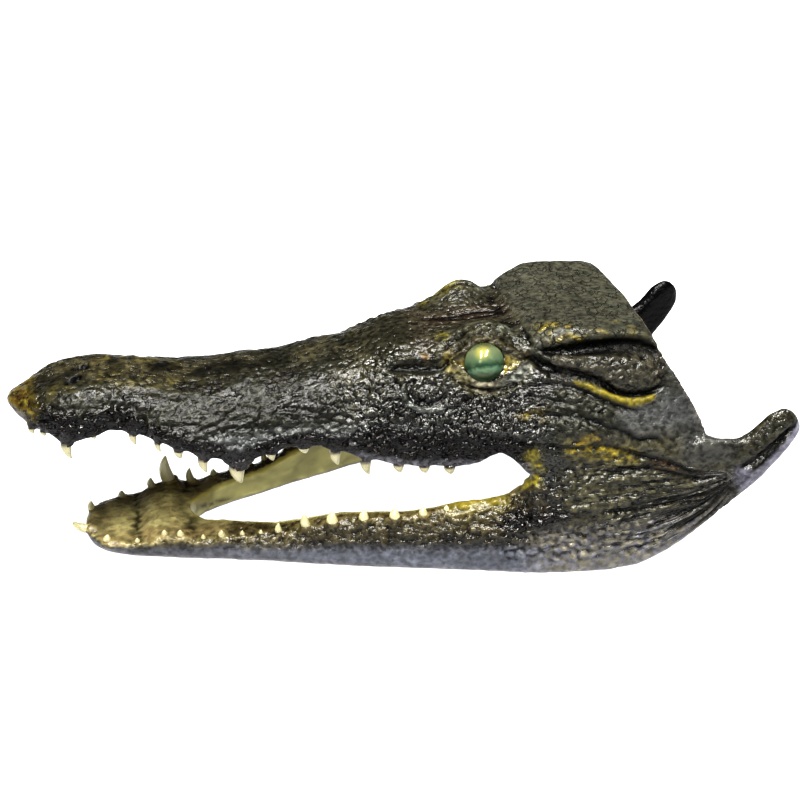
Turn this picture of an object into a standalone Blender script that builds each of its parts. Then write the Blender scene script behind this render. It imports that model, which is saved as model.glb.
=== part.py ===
"""Preserved crocodile head with glass eyes, its mouth open, resting on its lower jaw.

The head faces -X, its left side is -Y, and +Z is up. Distances along the head are
counted in millimetres behind the tip of the snout, and heights above the floor.
Every cross-section is worked out from a few named outlines, seen from the side and
from above, and the sections are lofted into solids.
"""
import math

import bmesh
import bpy
import numpy as np
from mathutils import Matrix, Vector

MM = 0.001
HEAD_LENGTH = 365.0          # snout tip to the rear tips of the lower jaw
MIDDLE = HEAD_LENGTH / 2     # this distance behind the snout tip lies at x = 0
GAP = 0.3                    # clearance between touching pieces

SNOUT_END = 195.0            # the cut in front of the eyes
MOUTH_CORNER = 238.0
TABLE_END = 300.0            # rear edge of the flat skull table
WING_SWEEP = 22.0            # how far the jaw-joint wings reach behind the table
SYMPHYSIS_END = 76.0         # the two halves of the lower jaw part here

EYE_RADIUS = 10.5
EYE_CENTRE = (220.4, 32.0, 97.6)
NOSTRIL = (30.5, 6.4, 97.0)
FLAP_CENTRE = (274.5, 50.3, 96.6)
FLAP_HALF_SIZE = (28.5, 4.6, 11.0)

STEPS = 2                    # points on each stretch of a cross-section's spline


def smooth(*knots):
    """Return a smooth curve through (distance, value) knots that never overshoots."""
    place = np.array([knot[0] for knot in knots], dtype=float)
    value = np.array([knot[1] for knot in knots], dtype=float)
    span = np.diff(place)
    rise = np.diff(value) / span
    slope = np.zeros(len(value))
    slope[0] = rise[0]
    slope[-1] = rise[-1]
    for i in range(1, len(value) - 1):
        if rise[i - 1] * rise[i] > 0:
            before = 2 * span[i] + span[i - 1]
            after = span[i] + 2 * span[i - 1]
            slope[i] = (before + after) / (before / rise[i - 1] + after / rise[i])

    def at(distance):
        i = int(np.clip(np.searchsorted(place, distance) - 1, 0, len(span) - 1))
        t = float(np.clip((distance - place[i]) / span[i], 0.0, 1.0))
        return (value[i] * (1 + 2 * t) * (1 - t) ** 2 + value[i + 1] * t * t * (3 - 2 * t)
                + span[i] * (slope[i] * t * (1 - t) ** 2 - slope[i + 1] * t * t * (1 - t)))

    return at


# Upper head, seen from the side: heights of its named lines.
ROOF_Z = smooth((0, 86), (1, 88), (4, 90), (10, 92.3), (20, 95.6), (30, 97.5), (42, 97.4), (62, 95.5),
                (80, 91.5), (97, 92), (111, 93.4), (124, 92.5), (136, 94), (150, 96.4), (162, 97.3),
                (174, 101), (187, 104.6), (205, 106.5), (218, 105.5), (232, 106.5), (250, 111),
                (265, 112), (300, 112))
LIP_Z = smooth((0, 86), (1, 82), (3, 79), (6, 77), (14, 78.2), (25, 75), (31, 75.3), (37, 76.4),
               (45, 78.2), (56, 74.5), (69, 72.5), (80, 68), (91, 63.7), (101, 60), (108, 61),
               (115, 63.4), (126, 65.5), (136, 66), (144, 65), (152, 61.5), (160, 58.5), (170, 56.8),
               (183, 55.3), (201, 53.2), (211, 53.6), (218, 58), (224, 61), (230, 57),
               (MOUTH_CORNER, 47.7))
PALATE_Z = smooth((0, 86), (1, 84), (6, 82.5), (30, 84), (60, 82), (100, 71), (150, 69), (195, 66),
                  (238, 64), (300, 68))
CREST_Z = smooth((195, 104.5), (206, 107), (211, 109.5), (217, 114), (223, 115.2), (230, 112.5),
                 (237, 107.5), (243, 109.5), (250, 112.5), (259, 115), (275, 113), (292, 111.5),
                 (300, 108.5))
WAIST_Z = smooth((195, 97), (206, 99), (232, 99), (240, 101), (250, 104), (275, 104), (300, 99))
MALAR_Z = smooth((195, 82), (219, 87), (240, 89), (260, 91), (275, 87), (290, 85), (300, 86))
CHEEK_Z = smooth((195, 68), (219, 72), (245, 73), (270, 74), (300, 72.5))
PARTING_Z = smooth((MOUTH_CORNER, 47.7), (245, 52), (265, 57), (290, 60), (322, 65.3))

# Upper head, seen from above: half-widths of the same lines.
LIP_Y = smooth((0, 0), (1, 5.5), (3, 9.5), (6, 13.5), (10, 17.5), (15, 21.5), (20, 24.5), (27, 27),
               (37, 27), (50, 24.5), (58, 26.5), (69, 34), (84, 36.5), (100, 38), (125, 36.5), (145, 40),
               (176, 46), (200, 50.5), (225, 56), (238, 60), (260, 66), (275, 69.5), (300, 72.5))
CREST_Y = smooth((195, 19), (206, 22.5), (216, 25), (232, 27), (240, 31), (250, 35), (260, 38.5),
                 (275, 42), (300, 43))
WAIST_Y = smooth((195, 35), (206, 35), (220, 36), (236, 36.5), (250, 41), (260, 44), (275, 46), (288, 47),
                 (300, 51))
MALAR_Y = smooth((195, 43.5), (220, 41.5), (240, 47), (260, 53.5), (275, 57.5), (290, 58), (300, 57.5))
CHEEK_Y = smooth((195, 49.5), (219, 53.5), (245, 61), (270, 67), (285, 67.5), (300, 64.5))

# Snout sections: points between the roof and the lip, as shares of the width and height.
# The tip around the nostrils is boxy, and the middle is a dome.
TIP_SHARES = ((0.36, 0.995), (0.67, 0.93), (0.88, 0.70), (0.99, 0.38), (1.01, 0.14))
DOME_SHARES = ((0.25, 0.985), (0.50, 0.90), (0.78, 0.64), (0.96, 0.34), (1.02, 0.13))

# Lower jaw: heights and half-widths.
RIM_Z = smooth((24.5, 11), (27, 13), (35, 12.5), (51, 11), (58, 14), (65, 15), (82, 12), (92, 13.5),
               (119, 15), (132, 19), (145, 22.7), (160, 24.5), (188, 26.8), (199, 29.7), (207, 31.7),
               (222, 34), (230, 37), (235, 41.5), (MOUTH_CORNER, 47.3))
PROCESS_TOP_Z = smooth((322, 65), (329, 64.5), (336, 64.5), (343, 69), (349, 76.5), (355, 80.5),
                       (360, 79), (365, 73))
BOTTOM_Z = smooth((24.5, 8.5), (26, 6), (30, 4.4), (38, 3.2), (54, 1.8), (84, 0), (284, 0), (297, 3),
                  (312, 12.5), (327, 26), (341, 37.5), (352, 50), (361, 61.5), (365, 68))
ROUNDING = smooth((24.5, 3), (30, 9), (38, 13), (54, 7), (82, 5), (280, 6), (320, 8), (345, 9), (365, 5))
RIM_Y = smooth((24.5, 0.5), (25.5, 6), (27, 10), (30, 14.5), (36, 19.5), (50, 23), (64, 24.5), (82, 28),
               (119, 35), (147, 42), (177, 49.5), (205, 54.5), (222, 57), (238, 60), (250, 63), (262, 66),
               (286, 69.5), (305, 72), (322, 73), (335, 75), (358, 75.5), (365, 75))
OUTER_Y = smooth((24.5, 0.6), (25.5, 6.5), (27, 11), (30, 15.5), (38, 20), (54, 25), (82, 30.5),
                 (111, 38.5), (143, 48.5), (174, 57.5), (203, 65), (230, 73), (246, 76.7), (270, 79.5),
                 (288, 79.5), (300, 79), (322, 80), (345, 81.5), (358, 80.5), (365, 77))
INNER_Y = smooth((SYMPHYSIS_END, 0), (78, 5), (81, 9), (88, 13), (97, 17), (115, 23), (133, 29.5),
                 (150, 34.5), (174, 42), (207, 49), (226, 53), (250, 56), (300, 59.5), (330, 65),
                 (345, 67.5), (358, 69.5), (365, 73))

# Teeth: distance behind the snout tip, crown length, radius at the gum.
UPPER_TEETH = ((9, 3.5, 1.2), (14.5, 3.5, 1.4), (25, 10.5, 2.3), (37, 2.8, 1.4), (55, 7.5, 1.6),
               (66, 6.7, 1.7), (75, 7, 1.8), (86, 10.5, 2.3), (101.5, 12, 3.1), (117.5, 6.5, 2.0),
               (133, 6, 2.2), (147.7, 7, 2.2), (162, 7, 2.5), (177, 5.2, 2.3), (189, 4.5, 2.2))
REAR_TEETH = ((201, 4, 2.0),)
LOWER_TEETH_LEFT = ((36, 3, 2.6), (50, 2.5, 1.4), (63.5, 2.5, 1.5), (71, 3, 1.6), (82, 2.5, 1.4),
                    (91, 3.5, 1.5), (101, 2.5, 1.4), (110, 2.5, 1.4), (119, 6, 1.8), (132, 8, 2.3),
                    (145, 6, 2.7), (160, 5.5, 2.6), (174.5, 5.5, 2.5), (188, 5, 2.5), (199, 3, 2.0))
LOWER_TEETH_RIGHT = ((28, 5, 1.6), (43, 4, 1.6), (58.5, 6, 1.7), (68, 17, 2.8), (79, 9, 2.0),
                     (91, 4, 1.5), (101, 4, 1.5), (110, 5, 1.6), (119, 6, 1.8), (132, 7, 2.2),
                     (145, 6, 2.6), (160, 5.5, 2.5), (174.5, 5, 2.4), (188, 4.5, 2.3), (199, 3, 1.9))
FRONT_TOOTH = (27.0, 9.5, 1.9)      # the left one, which leans forward
TOOTH_SIDES = 6
TOOTH_ROOT = 3.5             # depth of each tooth in the gum
LIP_INSET = 2.2              # teeth stand this far inside the lip line


def place(distance, side_y, height):
    """Turn a distance behind the snout tip, a side and a height into metres."""
    return Vector(((distance - MIDDLE) * MM, side_y * MM, height * MM))


def ease(value, low, high):
    """Rise smoothly from 0 at low to 1 at high."""
    t = min(max((value - low) / (high - low), 0.0), 1.0)
    return t * t * (3 - 2 * t)


def spline_through(points, steps):
    """Points of a Catmull-Rom spline through the given ones, its ends included."""
    knots = [np.array(p, dtype=float) for p in points]
    knots = [2 * knots[0] - knots[1]] + knots + [2 * knots[-1] - knots[-2]]
    path = []
    for i in range(1, len(knots) - 2):
        for step in range(steps):
            t = step / steps
            a, b, c, d = knots[i - 1:i + 3]
            path.append(0.5 * (2 * b + (c - a) * t + (2 * a - 5 * b + 4 * c - d) * t * t
                               + (3 * b - a - 3 * c + d) * t ** 3))
    path.append(knots[-2])
    return path


def clear_scene():
    """Remove the objects of the scene that the script starts in."""
    for item in list(bpy.data.objects):
        bpy.data.objects.remove(item, do_unlink=True)


def make_collection(name):
    """Add a collection to the scene."""
    group = bpy.data.collections.new(name)
    bpy.context.scene.collection.children.link(group)
    return group


def make_material(name, colour, roughness, metallic=0.0):
    """One Principled material with a plain colour."""
    material = bpy.data.materials.new(name)
    material.use_nodes = True
    shader = material.node_tree.nodes["Principled BSDF"]
    shader.inputs["Base Color"].default_value = (*colour, 1.0)
    shader.inputs["Roughness"].default_value = roughness
    shader.inputs["Metallic"].default_value = metallic
    material.diffuse_color = (*colour, 1.0)
    return material


def object_from_bmesh(name, shape, group, material=None):
    """Store a bmesh as a named object with one material."""
    bmesh.ops.recalc_face_normals(shape, faces=shape.faces)
    mesh = bpy.data.meshes.new(name)
    shape.to_mesh(mesh)
    shape.free()
    if material:
        mesh.materials.append(material)
    item = bpy.data.objects.new(name, mesh)
    group.objects.link(item)
    return item


def loft(rings, front, rear):
    """Join rings of equal count into one closed bmesh, its ends closed to the front and rear points."""
    shape = bmesh.new()
    rows = [[shape.verts.new(point) for point in ring] for ring in rings]
    count = len(rows[0])
    for row, following in zip(rows, rows[1:]):
        for i in range(count):
            j = (i + 1) % count
            shape.faces.new((row[i], row[j], following[j], following[i]))
    for row, point in ((rows[0], front), (rows[-1], rear)):
        pole = shape.verts.new(point)
        for i in range(count):
            shape.faces.new((row[i], row[(i + 1) % count], pole))
    return shape


def ball(centre, half_size, segments, rings, turn=None):
    """An ellipsoid at a place on the head, turned about its own centre."""
    shape = bmesh.new()
    bmesh.ops.create_uvsphere(shape, u_segments=segments, v_segments=rings, radius=1.0)
    stretch = Matrix.Diagonal((*[size * MM for size in half_size], 1.0))
    bmesh.ops.transform(shape, matrix=Matrix.Translation(place(*centre)) @ (turn or Matrix()) @ stretch,
                        verts=shape.verts)
    return shape


def cone_between(shape, base, tip, base_radius, tip_radius, sides):
    """Add a closed cone to a bmesh, from its base centre to its tip, in metres."""
    axis = tip - base
    turn = axis.to_track_quat("Z", "Y").to_matrix().to_4x4()
    middle = Matrix.Translation((base + tip) / 2)
    bmesh.ops.create_cone(shape, cap_ends=True, segments=sides, radius1=base_radius, radius2=tip_radius,
                          depth=axis.length, matrix=middle @ turn)


def combine(target, tool, operation):
    """Apply an exact Boolean to an object and remove the tool."""
    cut = target.modifiers.new(operation.title(), "BOOLEAN")
    cut.operation = operation
    cut.solver = "EXACT"
    cut.object = tool
    with bpy.context.temp_override(object=target, active_object=target):
        bpy.ops.object.modifier_apply(modifier=cut.name)
    bpy.data.objects.remove(tool, do_unlink=True)


def tidy_mesh(item):
    """Merge coincident points left by the Booleans and shade the round sides smooth."""
    shape = bmesh.new()
    shape.from_mesh(item.data)
    bmesh.ops.remove_doubles(shape, verts=shape.verts, dist=0.00002)
    bmesh.ops.dissolve_degenerate(shape, dist=0.00001, edges=shape.edges)
    bmesh.ops.triangulate(shape, faces=shape.faces)
    shape.to_mesh(item.data)
    shape.free()
    item.data.shade_smooth()
    item.data.set_sharp_from_angle(angle=math.radians(40))


# Upper head ---------------------------------------------------------------------------------


def snout_outline(distance):
    """Top half-outline of a snout section, from the midline of the roof to the lip."""
    width = LIP_Y(distance)
    lip = LIP_Z(distance)
    height = ROOF_Z(distance) - lip
    dome = ease(distance, 42, 70)
    points = [(0.0, lip + height)]
    for tip_share, dome_share in zip(TIP_SHARES, DOME_SHARES):
        share_y = tip_share[0] + dome * (dome_share[0] - tip_share[0])
        share_z = tip_share[1] + dome * (dome_share[1] - tip_share[1])
        points.append((share_y * width, lip + share_z * height))
    return points + [(width, lip)]


def cranium_outline(distance):
    """Top half-outline of a section through the eyes or ears, down to the lip or parting line."""
    bottom = LIP_Z(distance) if distance < MOUTH_CORNER else PARTING_Z(distance)
    crest_y = CREST_Y(distance)
    crest_z = CREST_Z(distance)
    roof = ROOF_Z(distance)
    cheek_z = CHEEK_Z(distance)
    cheek_y = CHEEK_Y(distance)
    return [(0.0, roof), (0.5 * crest_y, 0.6 * roof + 0.4 * crest_z), (crest_y, crest_z),
            (WAIST_Y(distance), WAIST_Z(distance)), (MALAR_Y(distance), MALAR_Z(distance)),
            (cheek_y, cheek_z), (LIP_Y(distance), bottom)]


def blended_outline(distance):
    """The snout's outline, turning into the cranium's in front of the eyes."""
    share = ease(distance, 160, 205)
    if share == 0:
        return snout_outline(distance)
    if share == 1:
        return cranium_outline(distance)
    snout = snout_outline(distance)
    cranium = cranium_outline(max(distance, 195))
    return [(a[0] + share * (b[0] - a[0]), a[1] + share * (b[1] - a[1])) for a, b in zip(snout, cranium)]


def wing_sweep(distance, side_y):
    """How far a point is carried back so that the jaw-joint wings reach behind the table."""
    return WING_SWEEP * ease(distance, 250, TABLE_END) * ease(abs(side_y), 43, 69)


def upper_ring(distance):
    """One whole section of the upper head, in metres, from the roof round by its right side."""
    top = spline_through(blended_outline(distance), STEPS)
    width, lip = top[-1]
    palate = PALATE_Z(distance)
    behind = ease(distance, 226, 244)
    shelf = 0.13 * width * (1 - behind) + 17 * behind
    top[-1] = np.array([width, lip])
    under = [(width - shelf, lip + 0.8), (0.72 * (width - shelf), 0.25 * lip + 0.75 * palate),
             (0.36 * (width - shelf), palate)]
    half = [tuple(p) for p in top] + under
    right = []
    for side_y, height in half:
        reach = distance + wing_sweep(distance, side_y)
        on_joint = distance > MOUTH_CORNER and height <= lip + 1.0
        if on_joint:
            height = PARTING_Z(reach) + GAP / 2 + 0.05
        right.append((reach, side_y, height))
    floor_mid = (distance, 0.0, palate)
    left = [(reach, -side_y, height) for reach, side_y, height in reversed(right[1:])]
    return [place(*p) for p in right + [floor_mid] + left]


def tooth_cone(shape, root_point, direction, length, radius):
    """Add one tooth whose gum line is at root_point, in millimetres along the head."""
    gum = place(*root_point)
    way = Vector(direction).normalized()
    base = gum - way * TOOTH_ROOT * MM
    tip = gum + way * length * MM
    slope = (TOOTH_ROOT + length) / length
    cone_between(shape, base, tip, radius * slope * MM, 0.0, TOOTH_SIDES)


def upper_teeth(rows, group):
    """Both sides' upper teeth as one mesh of separate cones."""
    shape = bmesh.new()
    for distance, length, radius in rows:
        for side in (-1, 1):
            gum = (distance, side * (LIP_Y(distance) - LIP_INSET), LIP_Z(distance) + 0.4)
            tooth_cone(shape, gum, (0.05, side * 0.06, -1), length, radius)
    return object_from_bmesh("upper teeth", shape, group)


def build_snout(group, cutters, material):
    """Snout and upper jaw in front of the eyes, with its teeth and nostrils."""
    stations = [0.6, 2.5, 5.5, 10, 16, 23, 30, 37, 44, 52, 60, 69, 79, 90, 101, 109, 118, 128, 138, 148, 159,
                171, 183, SNOUT_END - GAP / 2]
    rings = [upper_ring(distance) for distance in stations]
    last = SNOUT_END - GAP / 2
    shape = loft(rings, place(0, 0, ROOF_Z(0)), place(last, 0, 85))
    snout = object_from_bmesh("snout", shape, group, material)
    combine(snout, upper_teeth(UPPER_TEETH, cutters), "UNION")
    for side in (-1, 1):
        turn = Matrix.Rotation(side * math.radians(25), 4, "Z")
        hole = ball((NOSTRIL[0], side * NOSTRIL[1], NOSTRIL[2] + 3.5), (3.6, 1.9, 5.0), 12, 8, turn)
        combine(snout, object_from_bmesh("nostril", hole, cutters), "DIFFERENCE")
    tidy_mesh(snout)
    return snout


def eye_shape(side, radius):
    """A glass eye, or with a larger radius the socket that it sits in."""
    centre = (EYE_CENTRE[0], side * EYE_CENTRE[1], EYE_CENTRE[2])
    return ball(centre, (radius, radius, radius), 18, 9)


def flap_shape(side, clearance):
    """The lens-shaped flap over an ear, or with a clearance the recess around it."""
    centre = (FLAP_CENTRE[0], side * FLAP_CENTRE[1], FLAP_CENTRE[2])
    tilt = Matrix.Rotation(side * math.radians(28), 4, "X")
    drop = Matrix.Rotation(math.radians(12), 4, "Y")
    toe = Matrix.Rotation(side * math.radians(9), 4, "Z")
    half_size = [size + clearance for size in FLAP_HALF_SIZE]
    flap = ball(centre, half_size, 14, 7)
    move = Matrix.Translation(place(*centre))
    bmesh.ops.transform(flap, matrix=move.inverted(), verts=flap.verts)
    for vert in flap.verts:
        taper = 0.8 + 0.2 * vert.co.x / (FLAP_HALF_SIZE[0] * MM)
        vert.co.y *= taper
        vert.co.z *= taper
    bmesh.ops.transform(flap, matrix=move @ toe @ drop @ tilt, verts=flap.verts)
    return flap


def build_cranium(group, cutters, material):
    """The head from the eyes back: brows, skull table, cheeks, ear recesses and jaw joints."""
    stations = [SNOUT_END + GAP / 2, 203, 209, 214, 219, 224, 229, 233, 236, 238.5, 243, 250, 259, 268, 277,
                285, 293, TABLE_END]
    rings = [upper_ring(distance) for distance in stations]
    rear = [inset_rear_point(point) for point in rings[-1]]
    shape = loft(rings + [rear], place(stations[0], 0, 85), place(TABLE_END, 0, 88))
    cranium = object_from_bmesh("cranium", shape, group, material)
    combine(cranium, upper_teeth(REAR_TEETH, cutters), "UNION")
    for side in (-1, 1):
        lean = Matrix.Rotation(side * math.radians(-14), 4, "X")
        wing = ball((253, side * 31, 56), (17, 7, 19), 12, 8, lean)
        combine(cranium, object_from_bmesh("pterygoid wing", wing, cutters), "UNION")
        socket = eye_shape(side, EYE_RADIUS + GAP)
        combine(cranium, object_from_bmesh("eye socket", socket, cutters), "DIFFERENCE")
        recess = flap_shape(side, GAP)
        combine(cranium, object_from_bmesh("ear recess", recess, cutters), "DIFFERENCE")
    tidy_mesh(cranium)
    return cranium


def inset_rear_point(point):
    """Carry a point of the last ring in to the flat rear wall of the braincase."""
    rear_x = place(TABLE_END, 0, 0).x
    centre_z = 88 * MM
    half_width = 40 * MM
    side_y = max(-half_width, min(half_width, point.y * 0.86))
    return Vector((rear_x, side_y, centre_z + (point.z - centre_z) * 0.86))


def build_occiput(group, cutters, material):
    """Bony plate at the back of the braincase, with its round joint and the spinal opening."""
    front = place(TABLE_END + GAP, 0, 86)
    shape = bmesh.new()
    cone_between(shape, front, front + Vector((5 * MM, 0, 0)), 18 * MM, 15 * MM, 20)
    bmesh.ops.transform(shape, matrix=Matrix.Translation(front) @ Matrix.Diagonal((1, 1.75, 0.8, 1))
                        @ Matrix.Translation(-front), verts=shape.verts)
    occiput = object_from_bmesh("occiput", shape, group, material)
    condyle = ball((TABLE_END + 7, 0, 80), (7, 6.5, 5), 16, 10)
    combine(occiput, object_from_bmesh("condyle", condyle, cutters), "UNION")
    opening = ball((TABLE_END + 7, 0, 90.5), (5, 5.5, 4.2), 16, 10)
    combine(occiput, object_from_bmesh("spinal opening", opening, cutters), "DIFFERENCE")
    tidy_mesh(occiput)
    return occiput


# Lower jaw ----------------------------------------------------------------------------------


def jaw_top(distance):
    """Heights of the lower jaw's rim, of its joint face, and of the rear process."""
    if distance <= MOUTH_CORNER:
        return RIM_Z(distance)
    if distance <= 322:
        return PARTING_Z(distance) - GAP / 2 - 0.05
    return PROCESS_TOP_Z(distance)


def jaw_ring(distance, side):
    """One section of half the lower jaw: over the rim, down its outer wall and back inside."""
    top = jaw_top(distance)
    bottom = BOTTOM_Z(distance)
    height = top - bottom
    rim = RIM_Y(distance)
    outer = max(OUTER_Y(distance), rim)
    inner = INNER_Y(distance) if distance > SYMPHYSIS_END else 0.0
    inner = max(inner, GAP / 2)
    corner = min(ROUNDING(distance), 0.45 * height, 0.75 * (outer - inner))
    open_jaw = ease(distance, SYMPHYSIS_END - 10, SYMPHYSIS_END + 20)
    closed = ease(distance, 230, 240) * (1 - ease(distance, 322, 345))
    crown = top - 1.5 * (1 - closed)
    inner_top = top + 0.8 * (1 - open_jaw)
    free_end = ease(distance, 318, 334)
    points = [(inner + free_end * 1.5, inner_top - 5.0 * free_end),
              (rim - 0.45 * (rim - inner), top - 0.8 * free_end),
              (rim, crown), (rim + 0.65 * (outer - rim), bottom + max(0.62 * height, 1.2 * corner)),
              (outer, bottom + corner), (outer - 0.29 * corner, bottom + 0.29 * corner),
              (outer - corner, bottom), (inner + 0.1 * (outer - inner), bottom),
              (inner, bottom + 0.12 * height)]
    path = spline_through(points, STEPS)
    lowest = max(bottom, 0.0)
    ring = [(max(y, inner), max(z, lowest)) for y, z in path]
    if closed == 1:
        ring = [(y, min(z, top)) for y, z in ring]
    return [place(distance, side * y, z) for y, z in ring]


def lower_teeth(rows, side, group):
    """One side's lower teeth as separate cones; the left front tooth leans forward."""
    shape = bmesh.new()
    for distance, length, radius in rows:
        gum = (distance, side * (RIM_Y(distance) - LIP_INSET), RIM_Z(distance) - 0.9)
        tooth_cone(shape, gum, (-0.06, side * 0.02, 1), length, radius)
    if side < 0:
        distance, length, radius = FRONT_TOOTH
        gum = (distance, LIP_INSET - RIM_Y(distance), RIM_Z(distance) - 0.5)
        tooth_cone(shape, gum, (-0.85, 0.35, 0.25), length, radius)
    return object_from_bmesh("lower teeth", shape, group)


def build_jaw_half(side, name, rows, group, cutters, material):
    """Half of the lower jaw, from the chin to the process behind the joint, with its teeth."""
    stations = [24.8, 26, 28.5, 33, 40, 50, 59, 67, 75.9, 79, 84, 92, 103, 118, 133, 148, 164, 180, 194, 206,
                218, 228, 235, 240, 250, 262, 275, 288, 298, 308, 316, 322, 329, 337, 344, 350, 356, 361, 364]
    rings = [jaw_ring(distance, side) for distance in stations]
    front = place(24.5, side * GAP / 2, 9.5)
    rear = place(HEAD_LENGTH, side * 75, 71)
    jaw = object_from_bmesh(name, loft(rings, front, rear), group, material)
    combine(jaw, lower_teeth(rows, side, cutters), "UNION")
    tidy_mesh(jaw)
    return jaw


def build_pair(name, maker, material, group):
    """Make a left and a right object from a shape function of the side."""
    for side, word in ((-1, "left"), (1, "right")):
        item = object_from_bmesh(f"{name}_{word}", maker(side), group, material)
        tidy_mesh(item)


def main():
    """Build every piece of the head."""
    clear_scene()
    head = make_collection("crocodile_head")
    cutters = make_collection("cutters")
    hide = make_material("lacquered hide", (0.035, 0.035, 0.025), 0.25)
    jaw_hide = make_material("lacquered jaw hide", (0.05, 0.047, 0.03), 0.3)
    flap_hide = make_material("ear flap hide", (0.06, 0.06, 0.045), 0.35)
    bone = make_material("stained bone", (0.16, 0.12, 0.07), 0.45)
    glass = make_material("green glass", (0.18, 0.42, 0.33), 0.08)
    build_snout(head, cutters, hide)
    build_cranium(head, cutters, hide)
    build_occiput(head, cutters, bone)
    build_pair("eye", lambda side: eye_shape(side, EYE_RADIUS), glass, head)
    build_pair("ear_flap", lambda side: flap_shape(side, 0.0), flap_hide, head)
    build_jaw_half(-1, "lower_jaw_left", LOWER_TEETH_LEFT, head, cutters, jaw_hide)
    build_jaw_half(1, "lower_jaw_right", LOWER_TEETH_RIGHT, head, cutters, jaw_hide)


main()
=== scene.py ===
# %% [markdown]
# # A preserved crocodile head
# The object is a young crocodile's head: skin dried over the skull, blackened, lacquered, touched up
# with gold, fitted with green glass eyes and dried with its mouth open. Its plain solids come from the
# packed model, the frame, which fixes every size and place. This lesson gives that frame its looks: one
# wrinkled hide over all the flesh, curved teeth, glass eyes and a stained bone plate at the back.

# %% The frame
import math

import bmesh
import bpy
import numpy as np
from mathutils import Matrix, Vector, noise
from mathutils.bvhtree import BVHTree


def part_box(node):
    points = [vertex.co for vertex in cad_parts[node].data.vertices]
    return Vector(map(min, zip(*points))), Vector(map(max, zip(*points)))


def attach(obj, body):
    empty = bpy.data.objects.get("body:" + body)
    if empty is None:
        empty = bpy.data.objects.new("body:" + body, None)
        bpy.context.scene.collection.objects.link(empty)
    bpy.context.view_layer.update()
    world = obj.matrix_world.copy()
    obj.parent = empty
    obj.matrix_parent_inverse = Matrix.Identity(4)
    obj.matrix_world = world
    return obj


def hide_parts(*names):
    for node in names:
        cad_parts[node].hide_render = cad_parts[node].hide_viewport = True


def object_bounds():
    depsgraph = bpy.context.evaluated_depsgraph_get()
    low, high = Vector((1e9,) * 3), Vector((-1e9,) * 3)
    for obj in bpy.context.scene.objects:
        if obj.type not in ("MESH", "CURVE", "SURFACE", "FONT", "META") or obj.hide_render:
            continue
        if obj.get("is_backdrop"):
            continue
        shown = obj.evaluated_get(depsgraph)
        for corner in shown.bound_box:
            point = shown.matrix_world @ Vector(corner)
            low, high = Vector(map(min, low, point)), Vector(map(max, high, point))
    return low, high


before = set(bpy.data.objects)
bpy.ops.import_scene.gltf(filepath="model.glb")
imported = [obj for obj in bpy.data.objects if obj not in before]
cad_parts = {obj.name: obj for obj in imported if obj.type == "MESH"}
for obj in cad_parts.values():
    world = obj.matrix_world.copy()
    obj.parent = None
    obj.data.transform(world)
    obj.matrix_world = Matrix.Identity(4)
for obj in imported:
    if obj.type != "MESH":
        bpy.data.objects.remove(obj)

MM = 0.001
cad_low, cad_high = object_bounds()
bpy.ops.object.select_all(action="DESELECT")
print("frame:", len(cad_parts), "nodes,", [round(side / MM, 1) for side in cad_high - cad_low], "mm")

# %% [markdown]
# The camera comes first, because every stroke of the work is judged through it. The picture was taken
# from the animal's left, a little ahead of it and 30 degrees above the floor, with a short telephoto
# view. An aim point inside the head and two angles say where the camera stands, so each can be
# corrected alone.

# %% The camera
CAMERA_AIM = Vector((0.0038, 0.0, 0.0629))
CAMERA_DISTANCE = 0.6197
CAMERA_TURN = math.radians(-11.42)
CAMERA_RISE = math.radians(30.09)
CAMERA_ROLL = math.radians(-0.27)
CAMERA_LENS_MM = 55.2
CAMERA_FILM_MM = 36.0
camera_back = Vector((
    math.sin(CAMERA_TURN) * math.cos(CAMERA_RISE),
    -math.cos(CAMERA_TURN) * math.cos(CAMERA_RISE),
    math.sin(CAMERA_RISE),
))
bpy.ops.object.camera_add(location=CAMERA_AIM + camera_back * CAMERA_DISTANCE)
camera = bpy.context.object
camera.rotation_euler = camera_back.to_track_quat("Z", "Y").to_euler()
camera.rotation_euler.rotate_axis("Z", CAMERA_ROLL)
camera.data.lens = CAMERA_LENS_MM
camera.data.sensor_width = CAMERA_FILM_MM
bpy.context.scene.camera = camera
print("camera at", [round(value, 3) for value in camera.location])

# %% [markdown]
# Lacquer shows its surroundings more than its own colour, so the lamps are part of the finish. Two long
# lamps hang over the head, as the pair of bright marks on the glass eye shows. They turn each wrinkle
# into a small glint. Two weak lamps, one ahead and one behind, open the shadows.

# %% Lamps
HEAD_MIDDLE = Vector((0.03, 0.0, 0.06))


def area_lamp(name, place, width, length, along, watts, tint):
    """A flat lamp that faces the head, with its long side as near as it can to the direction given."""
    bpy.ops.object.light_add(type="AREA", location=place)
    lamp = bpy.context.object
    lamp.name = name
    away = (Vector(place) - HEAD_MIDDLE).normalized()
    across = Vector(along).cross(away).normalized()
    lamp.rotation_euler = Matrix((across, away.cross(across), away)).transposed().to_euler()
    lamp.data.shape = "RECTANGLE"
    lamp.data.size = width
    lamp.data.size_y = length
    lamp.data.energy = watts
    lamp.data.color = tint
    return lamp


WARM = (1.0, 0.985, 0.95)
COOL = (0.95, 0.98, 1.0)
UPRIGHT = (0.0, 0.0, 1.0)
ACROSS_THE_HEAD = (0.45, 1.0, 0.0)
OVERHEAD_WATTS = 28.0

area_lamp("overhead_front", (-0.36, -0.30, 1.25), 0.11, 0.9, ACROSS_THE_HEAD, OVERHEAD_WATTS, WARM)
area_lamp("overhead_rear", (0.22, -0.26, 1.25), 0.11, 0.9, ACROSS_THE_HEAD, OVERHEAD_WATTS, WARM)
area_lamp("side_rear", (0.9, -1.0, 1.3), 0.7, 0.7, UPRIGHT, 4.0, COOL)
area_lamp("soft_front", (-0.8, -1.1, 0.9), 0.4, 0.4, UPRIGHT, 5.0, COOL)

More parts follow.
